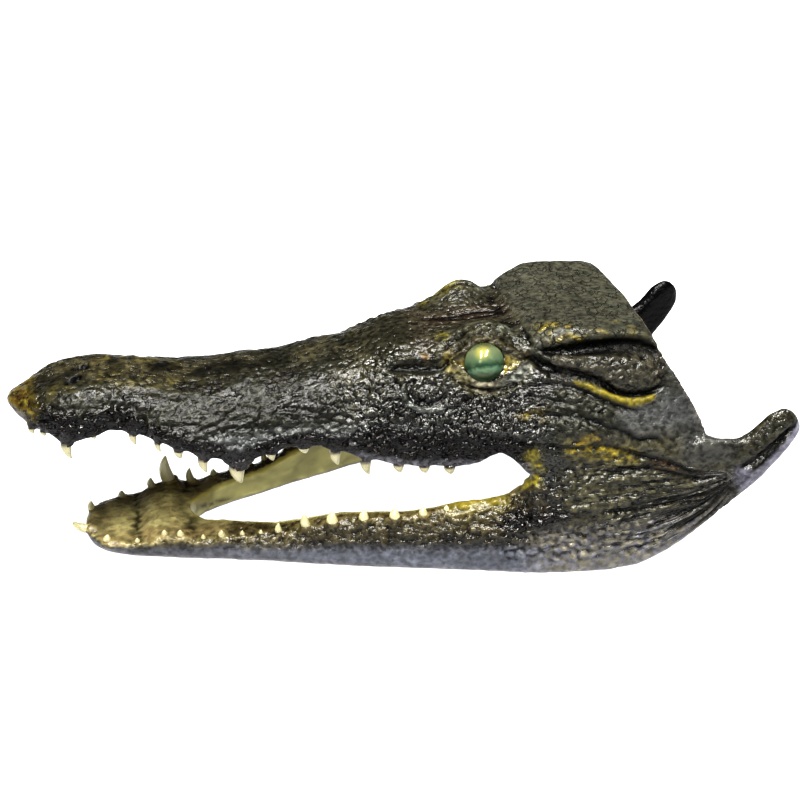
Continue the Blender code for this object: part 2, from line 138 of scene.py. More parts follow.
# %% [markdown]
# The world is nearly dark, because an even glow from all round would wash the glints out. The plain
# pale floor does the rest, and lights the jaw from below.

# %% World and floor
WORLD_STRENGTH = 0.07
FLOOR_SIZE = 8.0

world = bpy.data.worlds.new("studio")
world.use_nodes = True
world.node_tree.nodes["Background"].inputs["Color"].default_value = (0.93, 0.95, 1.0, 1.0)
world.node_tree.nodes["Background"].inputs["Strength"].default_value = WORLD_STRENGTH
bpy.context.scene.world = world
bpy.context.scene.view_settings.view_transform = "Standard"
bpy.context.scene.view_settings.look = "High Contrast"

bpy.ops.mesh.primitive_plane_add(size=FLOOR_SIZE)
floor = bpy.context.object
floor.name = "floor"
floor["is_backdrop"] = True
print("floor:", round(floor.dimensions.x, 1), "m wide")

# %% [markdown]
# Materials are small programs. They could be wired by hand in the Shader Editor, but a long finish is
# easier to read as sums. This class wraps one socket of a node, so that shader maths reads like
# arithmetic: `mask * 0.5 + 0.2` adds two Math nodes.

# %% A little shader language
class Wire:
    def __init__(self, finish, socket):
        self.finish = finish
        self.socket = socket

    def math(self, operation, first, second=0.0):
        return self.finish.node("ShaderNodeMath", {"operation": operation}, {0: first, 1: second})

    def __add__(self, other):
        return self.math("ADD", self, other)

    def __radd__(self, other):
        return self.math("ADD", other, self)

    def __sub__(self, other):
        return self.math("SUBTRACT", self, other)

    def __rsub__(self, other):
        return self.math("SUBTRACT", other, self)

    def __mul__(self, other):
        return self.math("MULTIPLY", self, other)

    def __rmul__(self, other):
        return self.math("MULTIPLY", other, self)

    def over(self, low, high):
        """0 below low, 1 above high and a smooth step between them."""
        return self.finish.node(
            "ShaderNodeMapRange",
            {"interpolation_type": "SMOOTHSTEP"},
            {"Value": self, "From Min": low, "From Max": high},
        )


print("a wire can do:", [name for name in vars(Wire) if "init" not in name and callable(vars(Wire)[name])])

# %% [markdown]
# `Finish` holds one material. Its `node` method adds any node: its settings first, such as the stops of
# a colour ramp, then the numbers or wires of its sockets. The other methods are the patterns that
# several finishes share, with sizes in millimetres, so that a pit or a crack is as large as on the real
# skin.

# %% One finish and its patterns
class Finish:
    def __init__(self, name):
        self.material = bpy.data.materials.new(name)
        self.material.use_nodes = True
        self.tree = self.material.node_tree
        self.shader = self.tree.nodes["Principled BSDF"]
        self.place = self.node("ShaderNodeTexCoord", {}, {}, "Object")

    def plug(self, socket, value):
        if isinstance(value, Wire):
            self.tree.links.new(value.socket, socket)
        else:
            socket.default_value = value

    def node(self, kind, settings, values, output=0):
        made = self.tree.nodes.new(kind)
        for name, setting in settings.items():
            if name == "stops":
                self.set_stops(made.color_ramp, setting)
            else:
                setattr(made, name, setting)
        for name, value in values.items():
            self.plug(made.inputs[name], value)
        return Wire(self, made.outputs[output])

    def set_stops(self, ramp, stops):
        while len(ramp.elements) < len(stops):
            ramp.elements.new(0.5)
        for element, (position, colour) in zip(ramp.elements, stops):
            element.position = position
            element.color = (*colour, 1.0)

    def blend(self, factor, first, second):
        """From the first colour to the second as the factor goes from 0 to 1."""
        values = {"Factor": factor, 6: first, 7: second}
        return self.node("ShaderNodeMix", {"data_type": "RGBA"}, values, 2)

    def tone(self, colour, amount):
        """The colour made darker or brighter: each channel times the amount."""
        return self.node("ShaderNodeVectorMath", {"operation": "SCALE"}, {0: colour, "Scale": amount})

    def painted(self, name, output="Fac"):
        return self.node("ShaderNodeAttribute", {"attribute_name": name}, {}, output)

    def stretched(self, scale):
        return self.node("ShaderNodeMapping", {}, {"Vector": self.place, "Scale": scale})

    def cloud(self, spot_mm, detail=2.0, roughness=0.5, place=None):
        """Soft noise whose spots are about this many millimetres wide."""
        values = {"Vector": place or self.place, "Scale": 1.0 / (spot_mm * MM), "Detail": detail}
        values["Roughness"] = roughness
        return self.node("ShaderNodeTexNoise", {}, values)

    def cells(self, size_mm, feature="F1", place=None):
        values = {"Vector": place or self.place, "Scale": 1.0 / (size_mm * MM)}
        return self.node("ShaderNodeTexVoronoi", {"feature": feature}, values, "Distance")

    def bump(self, height, distance_mm, strength=1.0, below=None):
        values = {"Height": height, "Distance": distance_mm * MM, "Strength": strength}
        if below is not None:
            values["Normal"] = below
        return self.node("ShaderNodeBump", {}, values)

    def set(self, **values):
        """Sets or links the shader's sockets; an underscore stands for a space."""
        for name, value in values.items():
            self.plug(self.shader.inputs[name.replace("_", " ")], value)
        return self.material


print("a finish can do:", [name for name in vars(Finish) if "__" not in name])

# %% [markdown]
# The floor's finish is the first and simplest: a pale matte grey, faintly clouded, that also glows. The
# glow keeps the floor evenly bright without a strong lamp, which would show up in the lacquer.

# %% The floor's finish
paper = Finish("pale_floor")
floor.data.materials.append(paper.set(
    Base_Color=paper.blend(paper.cloud(180.0), (0.24, 0.24, 0.25, 1.0), (0.26, 0.26, 0.27, 1.0)),
    Roughness=0.8,
    Emission_Color=(0.97, 0.98, 1.0, 1.0),
    Emission_Strength=0.85,
))
print("floor finish:", floor.data.materials[0].name)

# %% [markdown]
# The flesh starts as a copy of the frame's solids, merged into one mesh. Their teeth are plain
# six-sided cones, so a tooth's tip is a vertex where six or more faces meet in a narrow point. Each tip
# is noted, for the real teeth later, and pressed down to a stump, which becomes the collar of gum round
# the new tooth.

# %% Flesh and teeth read from the frame
FLESH = ("snout", "cranium", "ear_flap_left", "ear_flap_right", "lower_jaw_left", "lower_jaw_right")
POINTED = math.radians(230.0)
COLLAR_UPPER = 0.30
COLLAR_LOWER = 0.16

flesh = bmesh.new()
for node_name in FLESH:
    flesh.from_mesh(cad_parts[node_name].data)
bmesh.ops.remove_doubles(flesh, verts=flesh.verts, dist=0.001 * MM)


def corner_angle(vert):
    return sum(loop.calc_angle() for loop in vert.link_loops)


def ring_centre(vert):
    ring = [edge.other_vert(vert).co for edge in vert.link_edges]
    return sum(ring, Vector()) / len(ring)


teeth = []
for vert in flesh.verts:
    if len(vert.link_edges) < 6 or corner_angle(vert) > POINTED:
        continue
    root = ring_centre(vert)
    spread = [(edge.other_vert(vert).co - root).length for edge in vert.link_edges]
    teeth.append({"tip": vert.co.copy(), "root": root, "radius": min(spread), "upper": vert.co.z < root.z})
    vert.co = root.lerp(vert.co, COLLAR_UPPER if vert.co.z < root.z else COLLAR_LOWER)
print("teeth:", len(teeth), "upper:", sum(tooth["upper"] for tooth in teeth))

# %% [markdown]
# The frame has a round socket behind each eye. Skin can't lie on a hole, so each socket is first filled
# with a ball of the eye's own size. The lids are shaped over it later.

# %% The sockets filled
EYE_SIDES = {"eye_left": -1.0, "eye_right": 1.0}


def eye_ball(name):
    low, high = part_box(name)
    return (Vector(low) + Vector(high)) / 2.0, (high[0] - low[0]) / 2.0


for eye_name in EYE_SIDES:
    eye_centre, eye_radius = eye_ball(eye_name)
    place = Matrix.Translation(eye_centre)
    bmesh.ops.create_icosphere(flesh, subdivisions=4, radius=eye_radius, matrix=place)
hide_mesh = bpy.data.meshes.new("hide")
flesh.to_mesh(hide_mesh)
flesh.free()
hide = bpy.data.objects.new("hide", hide_mesh)
bpy.context.collection.objects.link(hide)
print("flesh:", len(hide_mesh.polygons), "faces in one mesh")

# %% [markdown]
# Some helpers for every mesh that follows. `work` adds a modifier and applies it, as the modifier panel
# does. Vertices are read and written as one table of numbers, which is far quicker than one by one, and
# the mean of each vertex's neighbours is what a smoothing brush works with.

# %% Helpers for meshes
def only(thing):
    bpy.ops.object.select_all(action="DESELECT")
    bpy.context.view_layer.objects.active = thing
    thing.select_set(True)


def work(thing, kind, **settings):
    """Adds a modifier to the object, sets it and applies it."""
    modifier = thing.modifiers.new(kind.lower(), kind)
    for name, value in settings.items():
        setattr(modifier, name, value)
    only(thing)
    bpy.ops.object.modifier_apply(modifier=modifier.name)


def vertex_rows(mesh, kind="co"):
    """One row of three numbers for every vertex: its place, or its normal."""
    flat = np.empty(len(mesh.vertices) * 3)
    mesh.vertices.foreach_get(kind, flat)
    return flat.reshape(-1, 3)


def neighbour_mean(mesh, rows, rounds):
    """The rows, one for every vertex, averaged again and again with those of the joined vertices."""
    edges = np.empty(len(mesh.edges) * 2, dtype=np.int32)
    mesh.edges.foreach_get("vertices", edges)
    first, second = edges.reshape(-1, 2).T
    count = np.bincount(first, minlength=len(rows)) + np.bincount(second, minlength=len(rows))
    for _ in range(rounds):
        total = np.stack([
            np.bincount(first, column[second], len(rows)) + np.bincount(second, column[first], len(rows))
            for column in rows.T
        ], 1)
        rows = total / count[:, None]
    return rows


print("widest side of the flesh:", round(float(np.ptp(vertex_rows(hide.data), axis=0).max()) / MM, 1), "mm")

# %% [markdown]
# The real skin has no joint between snout, cheek and jaw. The copy is swollen by the gap between the
# solids, and a voxel remesh melts all of it into one closed surface of even, millimetre-sized faces.
# That is the clay for the strokes that follow. Smoothing takes the steps of the voxels away but also
# shrinks thin places, so the broad part of what it took is given back.

# %% One closed skin
GAP_MM = 0.3
CLAY_MM = 0.9

work(hide, "DISPLACE", strength=GAP_MM * MM, mid_level=0.0)
work(hide, "REMESH", mode="VOXEL", voxel_size=CLAY_MM * MM)
stepped = vertex_rows(hide.data)
work(hide, "SMOOTH", factor=0.5, iterations=10)
smoothed = vertex_rows(hide.data)
lost = neighbour_mean(hide.data, stepped - smoothed, 12)
hide.data.vertices.foreach_set("co", (smoothed + lost).ravel())
hide.data.update()
print("smoothing gave back up to", round(float(abs(lost).max()) / MM, 2), "mm")
print("clay:", len(hide.data.vertices), "vertices")

# %% [markdown]
# All strokes are set in the head's own measure: millimetres behind the snout tip, from the middle plane
# and above the floor. The head is alike on both sides, so the distance from the middle is always
# positive and one stroke marks left and right together.

# %% The head's own measure
def head_points(mesh):
    """Every vertex in head measure, and the side of the middle plane it lies on."""
    points = vertex_rows(mesh) / MM
    points[:, 0] -= cad_low.x / MM
    side = np.where(points[:, 1] < 0.0, -1.0, 1.0)
    points[:, 1] *= side
    return points, side


def outward(mesh, side):
    """Every vertex's normal, in head measure."""
    normals = vertex_rows(mesh, "normal")
    normals[:, 1] *= side
    return normals


def put_back(mesh, points, side):
    """Moves the mesh's vertices to these points of head measure."""
    moved = points.copy()
    moved[:, 1] *= side
    moved[:, 0] += cad_low.x / MM
    mesh.vertices.foreach_set("co", (moved * MM).ravel())
    mesh.update()


print("clay reaches", head_points(hide.data)[0].max(0).round(1), "mm")

# %% [markdown]
# A fold or a brush stroke follows a line. It is set with a few points, as with a curve in the viewport,
# drawn smoothly through them, and then each of its points is moved to the nearest spot of the skin, so
# that a point set a millimetre off does no harm.

# %% Lines laid on the skin
def skin_tree(thing):
    return BVHTree.FromObject(thing, bpy.context.evaluated_depsgraph_get())


def smooth_line(knots, step=0.7):
    """A smooth line through given points, with a point about every step millimetres."""
    knots = np.array(knots, float)
    ends = np.vstack([2 * knots[0] - knots[1], knots, 2 * knots[-1] - knots[-2]])
    line = []
    for before, start, end, after in zip(ends, ends[1:], ends[2:], ends[3:]):
        count = max(2, int(np.linalg.norm(end - start) / step))
        for t in np.linspace(0.0, 1.0, count, endpoint=False)[:, None]:
            bend = (2 * before - 5 * start + 4 * end - after) * t**2
            twist = (3 * start - before - 3 * end + after) * t**3
            line.append((2 * start + (end - before) * t + bend + twist) / 2)
    return np.vstack([*line, knots[-1:]])


def laid(tree, knots):
    """The smooth line through these points, moved onto the skin."""
    line = smooth_line(knots)
    for spot in line:
        world_spot = Vector((spot[0] * MM + cad_low.x, -spot[1] * MM, spot[2] * MM))
        found = tree.find_nearest(world_spot)[0]
        spot[:] = (found.x - cad_low.x) / MM, abs(found.y) / MM, found.z / MM
    return line


print("a line through three points:", len(smooth_line(((0, 0, 0), (5, 2, 0), (10, 0, 0)))), "points")

# %% [markdown]
# Two brushes mark the skin. A stroke follows a line, and its mark fades across its width and towards
# its ends, like a loop tool pressed into wax. A zone is a box with soft edges, for broad areas. Both
# give every vertex a number from 0 to 1, which can move the vertex as well as colour it.

# %% Brushes
def smooth_step(low, high, value):
    part = np.clip((value - low) / (high - low), 0.0, 1.0)
    return part * part * (3.0 - 2.0 * part)


def stroke(points, line, width, taper=0.15):
    """1 on the line, fading over the width; width may be several values along the line."""
    widths = np.atleast_1d(np.array(width, float))
    reach = 2.4 * widths.max()
    mark = np.zeros(len(points))
    box = (points > line.min(0) - reach) & (points < line.max(0) + reach)
    near = np.nonzero(box.all(1))[0]
    along = np.linspace(0.0, 1.0, len(line))
    line_width = np.interp(along, np.linspace(0.0, 1.0, len(widths)), widths)
    fade = smooth_step(0.0, 1.0, np.minimum(along, 1.0 - along) / taper) if taper else 1.0 + 0.0 * along
    for part in np.array_split(near, len(near) // 4000 + 1):
        gap = ((points[part, None, :] - line[None, :, :]) ** 2).sum(2)
        nearest = gap.argmin(1)
        distance = np.sqrt(gap[np.arange(len(part)), nearest])
        mark[part] = np.exp(-((distance / line_width[nearest]) ** 2)) * fade[nearest]
    return mark


def zone(points, s=None, y=None, z=None, soft=6.0):
    """1 inside a soft-edged box; each side is a pair of limits in millimetres."""
    mark = np.ones(len(points))
    for column, limits in enumerate((s, y, z)):
        if limits is not None:
            value = points[:, column]
            mark *= smooth_step(limits[0] - soft, limits[0] + soft, value)
            mark *= 1.0 - smooth_step(limits[1] - soft, limits[1] + soft, value)
    return mark


print("snout, by its zone:", int(zone(head_points(hide.data)[0], s=(0, 170)).sum()), "vertices")

# %% [markdown]
# The eye is the part that people look at first. A crocodile's lids are thick rims that hug the ball,
# with a pointed corner at each end where moist tissue shows. They are drawn on a flat sheet laid
# against the eye, with axes of its own: backwards along the head, up across the eye, and out. So their
# outline is set as seen from straight in front of the eye.

# %% The eye's sheet
EYE_OUT = np.array((-0.171, 0.849, 0.500))
EYE_BACK = np.array((0.980, 0.198, 0.003))
EYE_UP = np.array((0.099, -0.490, 0.866))
UPPER_LID = ((-14.6, 0.6), (-9.0, 3.0), (-6.4, 5.8), (-3.6, 7.6), (0.7, 8.4), (5.0, 7.4), (8.3, 4.6),
             (11.8, 3.2), (15.1, 1.5), (17.3, 0.2))
LOWER_LID = ((17.3, 0.2), (13.9, -4.1), (9.0, -6.4), (5.1, -8.2), (0.7, -8.8), (-3.1, -8.3), (-6.6, -6.0),
             (-10.3, -2.8), (-14.6, 0.6))
LID_WALL = 3.3

eye_centre, eye_radius = eye_ball("eye_left")
eye_spot = np.array(((eye_centre.x - cad_low.x) / MM, abs(eye_centre.y) / MM, eye_centre.z / MM))


def eye_sheet(points):
    """How far each point lies behind, above and in front of the eye's centre, in the eye's own axes."""
    off = points - eye_spot
    return off @ EYE_BACK, off @ EYE_UP, off @ EYE_OUT


def from_eye(knots, out=LID_WALL):
    """Head points for (back, up) points drawn on the eye's sheet."""
    return [eye_spot + EYE_BACK * back + EYE_UP * up + EYE_OUT * out for back, up in knots]


def beyond_opening(back, up):
    """Distance from the outline of the opening: negative inside it."""
    outline = smooth_line([(*knot, 0.0) for knot in (*UPPER_LID, *LOWER_LID[1:])], 0.4)[:, :2]
    distance = np.full(len(back), 99.0)
    inside = np.zeros(len(back), bool)
    for (a, b), (c, d) in zip(outline, np.roll(outline, -1, 0)):
        distance = np.minimum(distance, np.hypot(back - a, up - b))
        crosses = (up < b) != (up < d)
        if d != b:
            inside ^= crosses & (back < a + (c - a) * (up - b) / (d - b))
    return np.where(inside, -distance, distance)


print("the eye's centre:", eye_spot.round(1), "mm")

# %% [markdown]
# Now the lids are pressed. Inside the outline the skin sinks to a floor behind the ball, and just
# outside it rises to the rim, higher on the upper lid. The wall between the two is steep, so the skin
# is melted once more, which spreads its stretched faces evenly.

# %% Lids and eye openings
LID_RIM = 2.3
RIM_FROM_EDGE = 1.6
OPENING_FLOOR = 0.6
CORNER_FLOOR = 4.3
SHEET_DEPTH = 15.0
SHEET_RADIUS = 28.0

points, side = head_points(hide.data)
normals = outward(hide.data, side)
back, up, out = eye_sheet(points)
radial = np.hypot(back, up)
facing = (abs(out) < SHEET_DEPTH) & (radial < SHEET_RADIUS) & ((normals @ EYE_OUT > -0.1) | (out > 3.5))
near_eye = np.nonzero(facing)[0]
edge = beyond_opening(back[near_eye], up[near_eye])
floor_out = OPENING_FLOOR + (CORNER_FLOOR - OPENING_FLOOR) * smooth_step(7.0, 8.6, radial[near_eye])
upper_half = smooth_step(-3.0, 3.0, up[near_eye])
rim = LID_RIM * (0.36 + 0.55 * upper_half) * np.exp(-(((edge - RIM_FROM_EDGE) / 2.6) ** 2))
plan = floor_out + (LID_WALL + rim - floor_out) * smooth_step(-0.9, 0.5, edge)
keep = smooth_step(2.0, 6.5, edge)
points[near_eye] += EYE_OUT * ((plan - out[near_eye]) * (1.0 - keep))[:, None]
put_back(hide.data, points, side)
work(hide, "REMESH", mode="VOXEL", voxel_size=CLAY_MM * MM)
work(hide, "SMOOTH", factor=0.5, iterations=3)
print("eye openings:", len(near_eye), "vertices shaped")

# %% [markdown]
# The large folds come next. They are the ones a taxidermist would press in with a tool while the skin
# is wet: the two long slits that frame the ear flap, the groove before the eye, the round wrinkle on
# the cheek, the folds below the lid and those that gather towards the jaw's rear tip. Here are the
# points of their lines, from front to back.

# %% The lines of the face
LINES = {
    "ear_slit_top": ((243, 38, 105.2), (250, 41, 104.6), (257, 43, 105.3), (264, 44, 106.3),
                     (271, 45, 107.0), (278, 45, 107.2), (286, 46, 107.0), (292, 46, 106.3),
                     (298, 48, 104.0), (302, 50, 99.8)),
    "ear_slit_low": ((237, 37, 102.6), (241, 38, 101.2), (245, 42, 99.1), (250, 46, 97.8), (255, 50, 97.4),
                     (260, 52, 96.3), (266, 54, 94.9), (272, 55, 92.2), (278, 57, 88.6), (286, 58, 86.7),
                     (294, 58, 86.7), (300, 56, 88.0), (305, 56, 90.0)),
    "flap_crest": ((244, 40, 103.4), (249, 43, 102.6), (255, 46, 101.6), (262, 49, 101.0)),
    "flap_body": ((252, 46, 101.0), (262, 49, 99.8), (274, 51, 98.0), (286, 52, 96.6), (297, 53, 95.0)),
    "gold_line": ((256, 51, 94.6), (262, 53, 92.7), (267, 54, 90.9), (273, 57, 87.8), (278, 58, 85.6),
                  (285, 60, 83.9), (293, 59, 84.1), (300, 58, 85.6)),
    "under_gold": ((236, 46, 88.9), (242, 47, 90.4), (248, 49, 91.6), (255, 51, 91.2), (262, 54, 89.6),
                   (268, 57, 87.0), (275, 59, 84.0), (282, 61, 81.4), (290, 62, 79.6)),
    "cheek_fold_1": ((234, 47, 86.3), (241, 50, 86.1), (250, 54, 85.2), (258, 58, 84.1), (266, 61, 82.0)),
    "cheek_fold_2": ((233, 52, 79.9), (242, 56, 79.7), (251, 59, 79.8), (260, 62, 79.3), (269, 64, 77.0)),
    "before_eye": ((174, 26, 96.3), (181, 28, 97.3), (188, 30, 98.0), (194, 32, 97.8), (199, 33, 98.6),
                   (206, 33, 100.3)),
    "cheek_ring": ((200, 43, 83.2), (197, 44, 81.9), (191, 43, 81.0), (185, 42, 82.5),
                   (181, 39, 85.8), (180, 36.5, 89.5), (182, 34.5, 92.0)),
    "inside_ring": ((202, 39, 90.0), (199, 42, 86.6), (195, 42, 84.3), (190, 41, 84.0), (185.5, 40, 85.6),
                    (183, 37, 89.0), (184.5, 35, 92.4), (188.5, 34, 94.6)),
    "between_eyes": ((196, 1, 105.8), (205, 1, 106.4), (217, 2.5, 106.5), (226, 3, 107.0), (236, 2, 107.2),
                     (242, 6, 109.1)),
    "table_crease": ((241, 22, 109.2), (241, 29, 108.7), (241, 34, 107.3), (243, 36, 105.4)),
    "brow_arc_1": ((209, 22, 109.0), (206, 24, 106.6), (203, 26, 104.4), (202, 28, 102.6)),
    "brow_arc_2": ((210, 29, 105.5), (206, 30, 102.9), (202, 32, 100.6), (199, 32, 99.7)),
    "brow_arc_3": ((213, 22, 111.2), (218, 22, 113.2), (224, 22, 113.8), (230, 20, 111.6)),
    "below_lid": ((199, 35, 97.0), (205, 38, 93.3), (212, 40, 89.8), (218, 41, 88.1), (224, 42, 87.8),
                  (230, 43, 89.0), (236, 43, 91.4)),
    "flap_fold": ((237, 55, 79), (249, 58, 80), (259, 60, 81), (266, 64, 77), (273, 66, 75), (281, 67, 72),
                  (287, 68, 68), (296, 69, 68), (302, 70, 64)),
    "jaw_fold_1": ((236, 59, 66), (245, 62, 66), (255, 65, 65), (271, 67, 66), (283, 69, 62), (292, 71, 59),
                   (300, 73, 57), (307, 75, 54), (317, 76, 50), (330, 78, 52)),
    "jaw_fold_2": ((259, 66, 55), (274, 70, 53), (284, 71, 54), (296, 73, 53), (308, 75, 50), (318, 77, 47),
                   (330, 78, 51)),
    "jaw_fold_3": ((279, 76, 37), (289, 76, 37), (298, 76, 38), (306, 77, 38), (316, 78, 39), (323, 79, 41),
                   (333, 80, 48)),
    "jaw_fold_4": ((266, 75, 34), (279, 76, 34), (291, 77, 34), (303, 77, 36), (317, 79, 36), (324, 79, 41),
                   (331, 79, 47)),
    "jaw_fold_5": ((292, 78, 27), (303, 78, 29), (312, 79, 31), (320, 80, 35), (329, 80, 43)),
    "jaw_fold_6": ((299, 78, 20), (307, 79, 22), (314, 79, 26), (320, 80, 31), (327, 80, 39),
                   (333, 80, 46)),
    "process_groove": ((333, 79, 52), (337, 79, 53), (341, 80, 56), (346, 80, 60), (351, 80, 65),
                       (356, 79, 69), (361, 78, 73)),
    "process_ridge": ((341, 79, 59), (348, 79, 64), (352, 79, 69), (354, 78, 73), (357, 77, 78)),
    "nostril_near": ((28, 9.6, 97.1), (30, 8.6, 97.4), (32, 6.6, 97.0)),
    "nostril_far": ((31, 2.4, 97.5), (33, 1.4, 97.5), (35, 3.0, 97.5)),
}
print("lines of the face:", len(LINES))

# %% [markdown]
# Each fold is a line with a width and a height in millimetres. Where the height is less than nothing,
# the fold is a groove, and where it has several widths, they follow the line from its start to its end.

# %% The folds of the face
FOLDS = (
    ("flap_crest", (2.0, 2.6, 3.0), 1.6),
    ("flap_body", (2.5, 5.0, 6.5, 6.5, 4.0), 0.9),
    ("ear_slit_top", (1.2, 1.8, 2.5, 3.0, 3.0, 2.8, 1.8), -3.8),
    ("ear_slit_low", (2.0, 2.5, 2.5, 1.8, 1.1, 1.0, 1.0), -3.2),
    ("gold_line", (1.2, 1.9, 2.3, 2.1, 1.4), 0.9),
    ("under_gold", (1.2, 1.6, 1.5, 1.2), -1.4),
    ("cheek_fold_1", 1.3, -0.9),
    ("cheek_fold_2", 1.4, -0.9),
    ("before_eye", (1.8, 2.8, 2.0), -3.8),
    ("cheek_ring", (0.9, 1.2, 1.2, 0.9), 1.0),
    ("inside_ring", (1.1, 1.3, 1.3, 1.1), -1.7),
    ("between_eyes", 1.5, -0.5),
    ("table_crease", 1.3, -1.6),
    ("brow_arc_1", 1.0, -1.4),
    ("brow_arc_2", 0.9, -1.1),
    ("brow_arc_3", 0.9, -0.8),
    ("below_lid", (1.1, 1.4, 1.1), -1.1),
    ("flap_fold", (1.4, 1.8, 1.5), -1.1),
    ("jaw_fold_1", (1.2, 1.5, 1.2), -1.3),
    ("jaw_fold_2", (1.2, 1.4, 1.1), -1.1),
    ("jaw_fold_3", (1.1, 1.3, 1.0), -1.1),
    ("jaw_fold_4", (1.0, 1.2, 1.0), -0.9),
    ("jaw_fold_5", (1.0, 1.2, 1.0), -1.0),
    ("jaw_fold_6", (1.2, 1.5, 1.1), -1.3),
    ("process_groove", (1.4, 1.7, 1.4), -1.9),
    ("process_ridge", 1.5, 0.7),
)
print("folds:", len(FOLDS), "of them grooves:", sum(height < 0.0 for _, _, height in FOLDS))

# %% [markdown]
# The small folds round the eye are drawn on the eye's own sheet, as how far they lie behind and above
# its centre: arcs that follow the lids, a short slit towards the ear, and small wrinkles that run into
# the corners. Then all lines are laid on the skin at once.

# %% The folds round the eye
EYE_LINES = {
    "lower_band_edge": ((-20.2, -3.5), (-13.8, -7.9), (-7.0, -11.5), (-1.0, -13.0), (5.4, -13.0),
                        (11.8, -11.6), (18.1, -8.9)),
    "brow_groove": ((-20.6, 7.0), (-18.0, 11.7), (-13.8, 15.9), (-8.7, 17.6), (-3.6, 18.9), (3.2, 20.0),
                    (9.6, 20.4), (15.1, 19.3), (19.4, 14.6), (22.4, 9.1)),
    "brow_ridge": ((-15.0, 8.5), (-10.5, 13.0), (-4.0, 15.4), (3.0, 16.3), (9.6, 15.8), (14.0, 13.0)),
    "slit_to_ear": ((17.3, 0.4), (20.0, 2.2), (22.4, 1.4), (24.5, -0.5), (28.7, -2.3)),
    "front_fold_1": ((-8.5, 8.0), (-11.5, 9.0), (-16.5, 8.0)),
    "front_fold_2": ((-10.0, 5.2), (-13.0, 6.0), (-18.5, 4.4)),
    "front_fold_3": ((-6.0, 10.5), (-9.0, 12.5), (-14.5, 12.0)),
    "front_fold_4": ((-13.5, 1.8), (-17.0, 2.6), (-22.5, 0.8)),
    "rear_fold_1": ((10.5, 7.5), (13.5, 7.6), (17.5, 4.6)),
    "rear_fold_2": ((8.0, 10.8), (12.5, 11.2), (18.5, 8.0)),
}
EYE_FOLDS = (
    ("lower_band_edge", 1.2, -1.2),
    ("brow_groove", (1.8, 2.2, 1.2, 1.0, 1.0, 1.2, 1.8), -2.2),
    ("brow_ridge", 2.2, 0.3),
    ("slit_to_ear", 1.2, -1.6),
    ("front_fold_1", 0.9, -0.9),
    ("front_fold_2", 0.9, -0.9),
    ("front_fold_3", 0.9, -0.9),
    ("front_fold_4", 1.0, -1.1),
    ("rear_fold_1", 0.9, -0.7),
    ("rear_fold_2", 0.9, -0.7),
)

tree = skin_tree(hide)
laid_lines = {name: laid(tree, knots) for name, knots in LINES.items()}
laid_lines.update({name: laid(tree, from_eye(knots)) for name, knots in EYE_LINES.items()})
print("lines laid:", len(laid_lines))

# %% [markdown]
# All folds are pressed in at once, along the skin's own normals, so that none is pushed in twice where
# two of them meet. The nostrils are two short slots side by side, each on its own side of the middle.
# Last, the snout's tip is drawn forward to a blunt point, and the skin below it is tucked in over the
# first teeth.

# %% Pressing the folds in
NOSTRILS = (("nostril_near", -1.0), ("nostril_far", 1.0))
NOSTRIL_DEPTH_MM = 3.0
TIP_FORWARD_MM = 2.2
CHIN_TUCK_MM = 2.4

points, side = head_points(hide.data)
normals = outward(hide.data, side)
lift = np.zeros(len(points))
for name, width, height in FOLDS + EYE_FOLDS:
    lift += height * stroke(points, laid_lines[name], width)
for name, on_side in NOSTRILS:
    lift -= NOSTRIL_DEPTH_MM * stroke(points, laid_lines[name], 1.6, 0.0) * (side == on_side)
points += normals * lift[:, None]
points[:, 0] -= TIP_FORWARD_MM * zone(points, s=(-4, 4), z=(85, 91), soft=3.0)
points[:, 0] += CHIN_TUCK_MM * zone(points, s=(-4, 12), z=(75, 81), soft=2.5)
put_back(hide.data, points, side)
print("deepest groove:", round(-lift.min(), 1), "mm, highest ridge:", round(lift.max(), 1), "mm")

# %% [markdown]
# Dried skin over bone is never smooth. The snout and cheeks are covered with lumps and pits a few
# millimetres wide, drawn out a little along the head. They come from Blender's own noise, read at every
# vertex, so that no two lumps match and each run gives the same ones.

# %% Reading noise
def sample(points, side, size_mm, stretch=1.0, reader=noise.noise):
    """Blender's noise read at every point, with spots size_mm wide and stretched along the head."""
    spots = points / size_mm
    spots[:, 0] /= stretch
    spots[:, 1] *= side
    return np.array([reader(Vector(spot)) for spot in spots])


def cell_wall(spot):
    """0 where two cells meet, larger towards a cell's middle."""
    near, far = noise.voronoi(spot)[0][:2]
    return far - near


print("wall of a cell at the eye:", round(cell_wall(Vector(eye_spot)), 2))

# %% [markdown]
# The lumps are masked, because the lids, the lips, the jaw's underside and its inner faces stayed
# smooth. Behind the mouth the skin gathers instead, in fine folds that fan out from the jaw's rear tip.
# Each place gets a function of its own, because the paint uses the same masks again.

# %% Where the skin is lumpy, and where it gathers
GATHER_FROM = (337.0, 52.0)


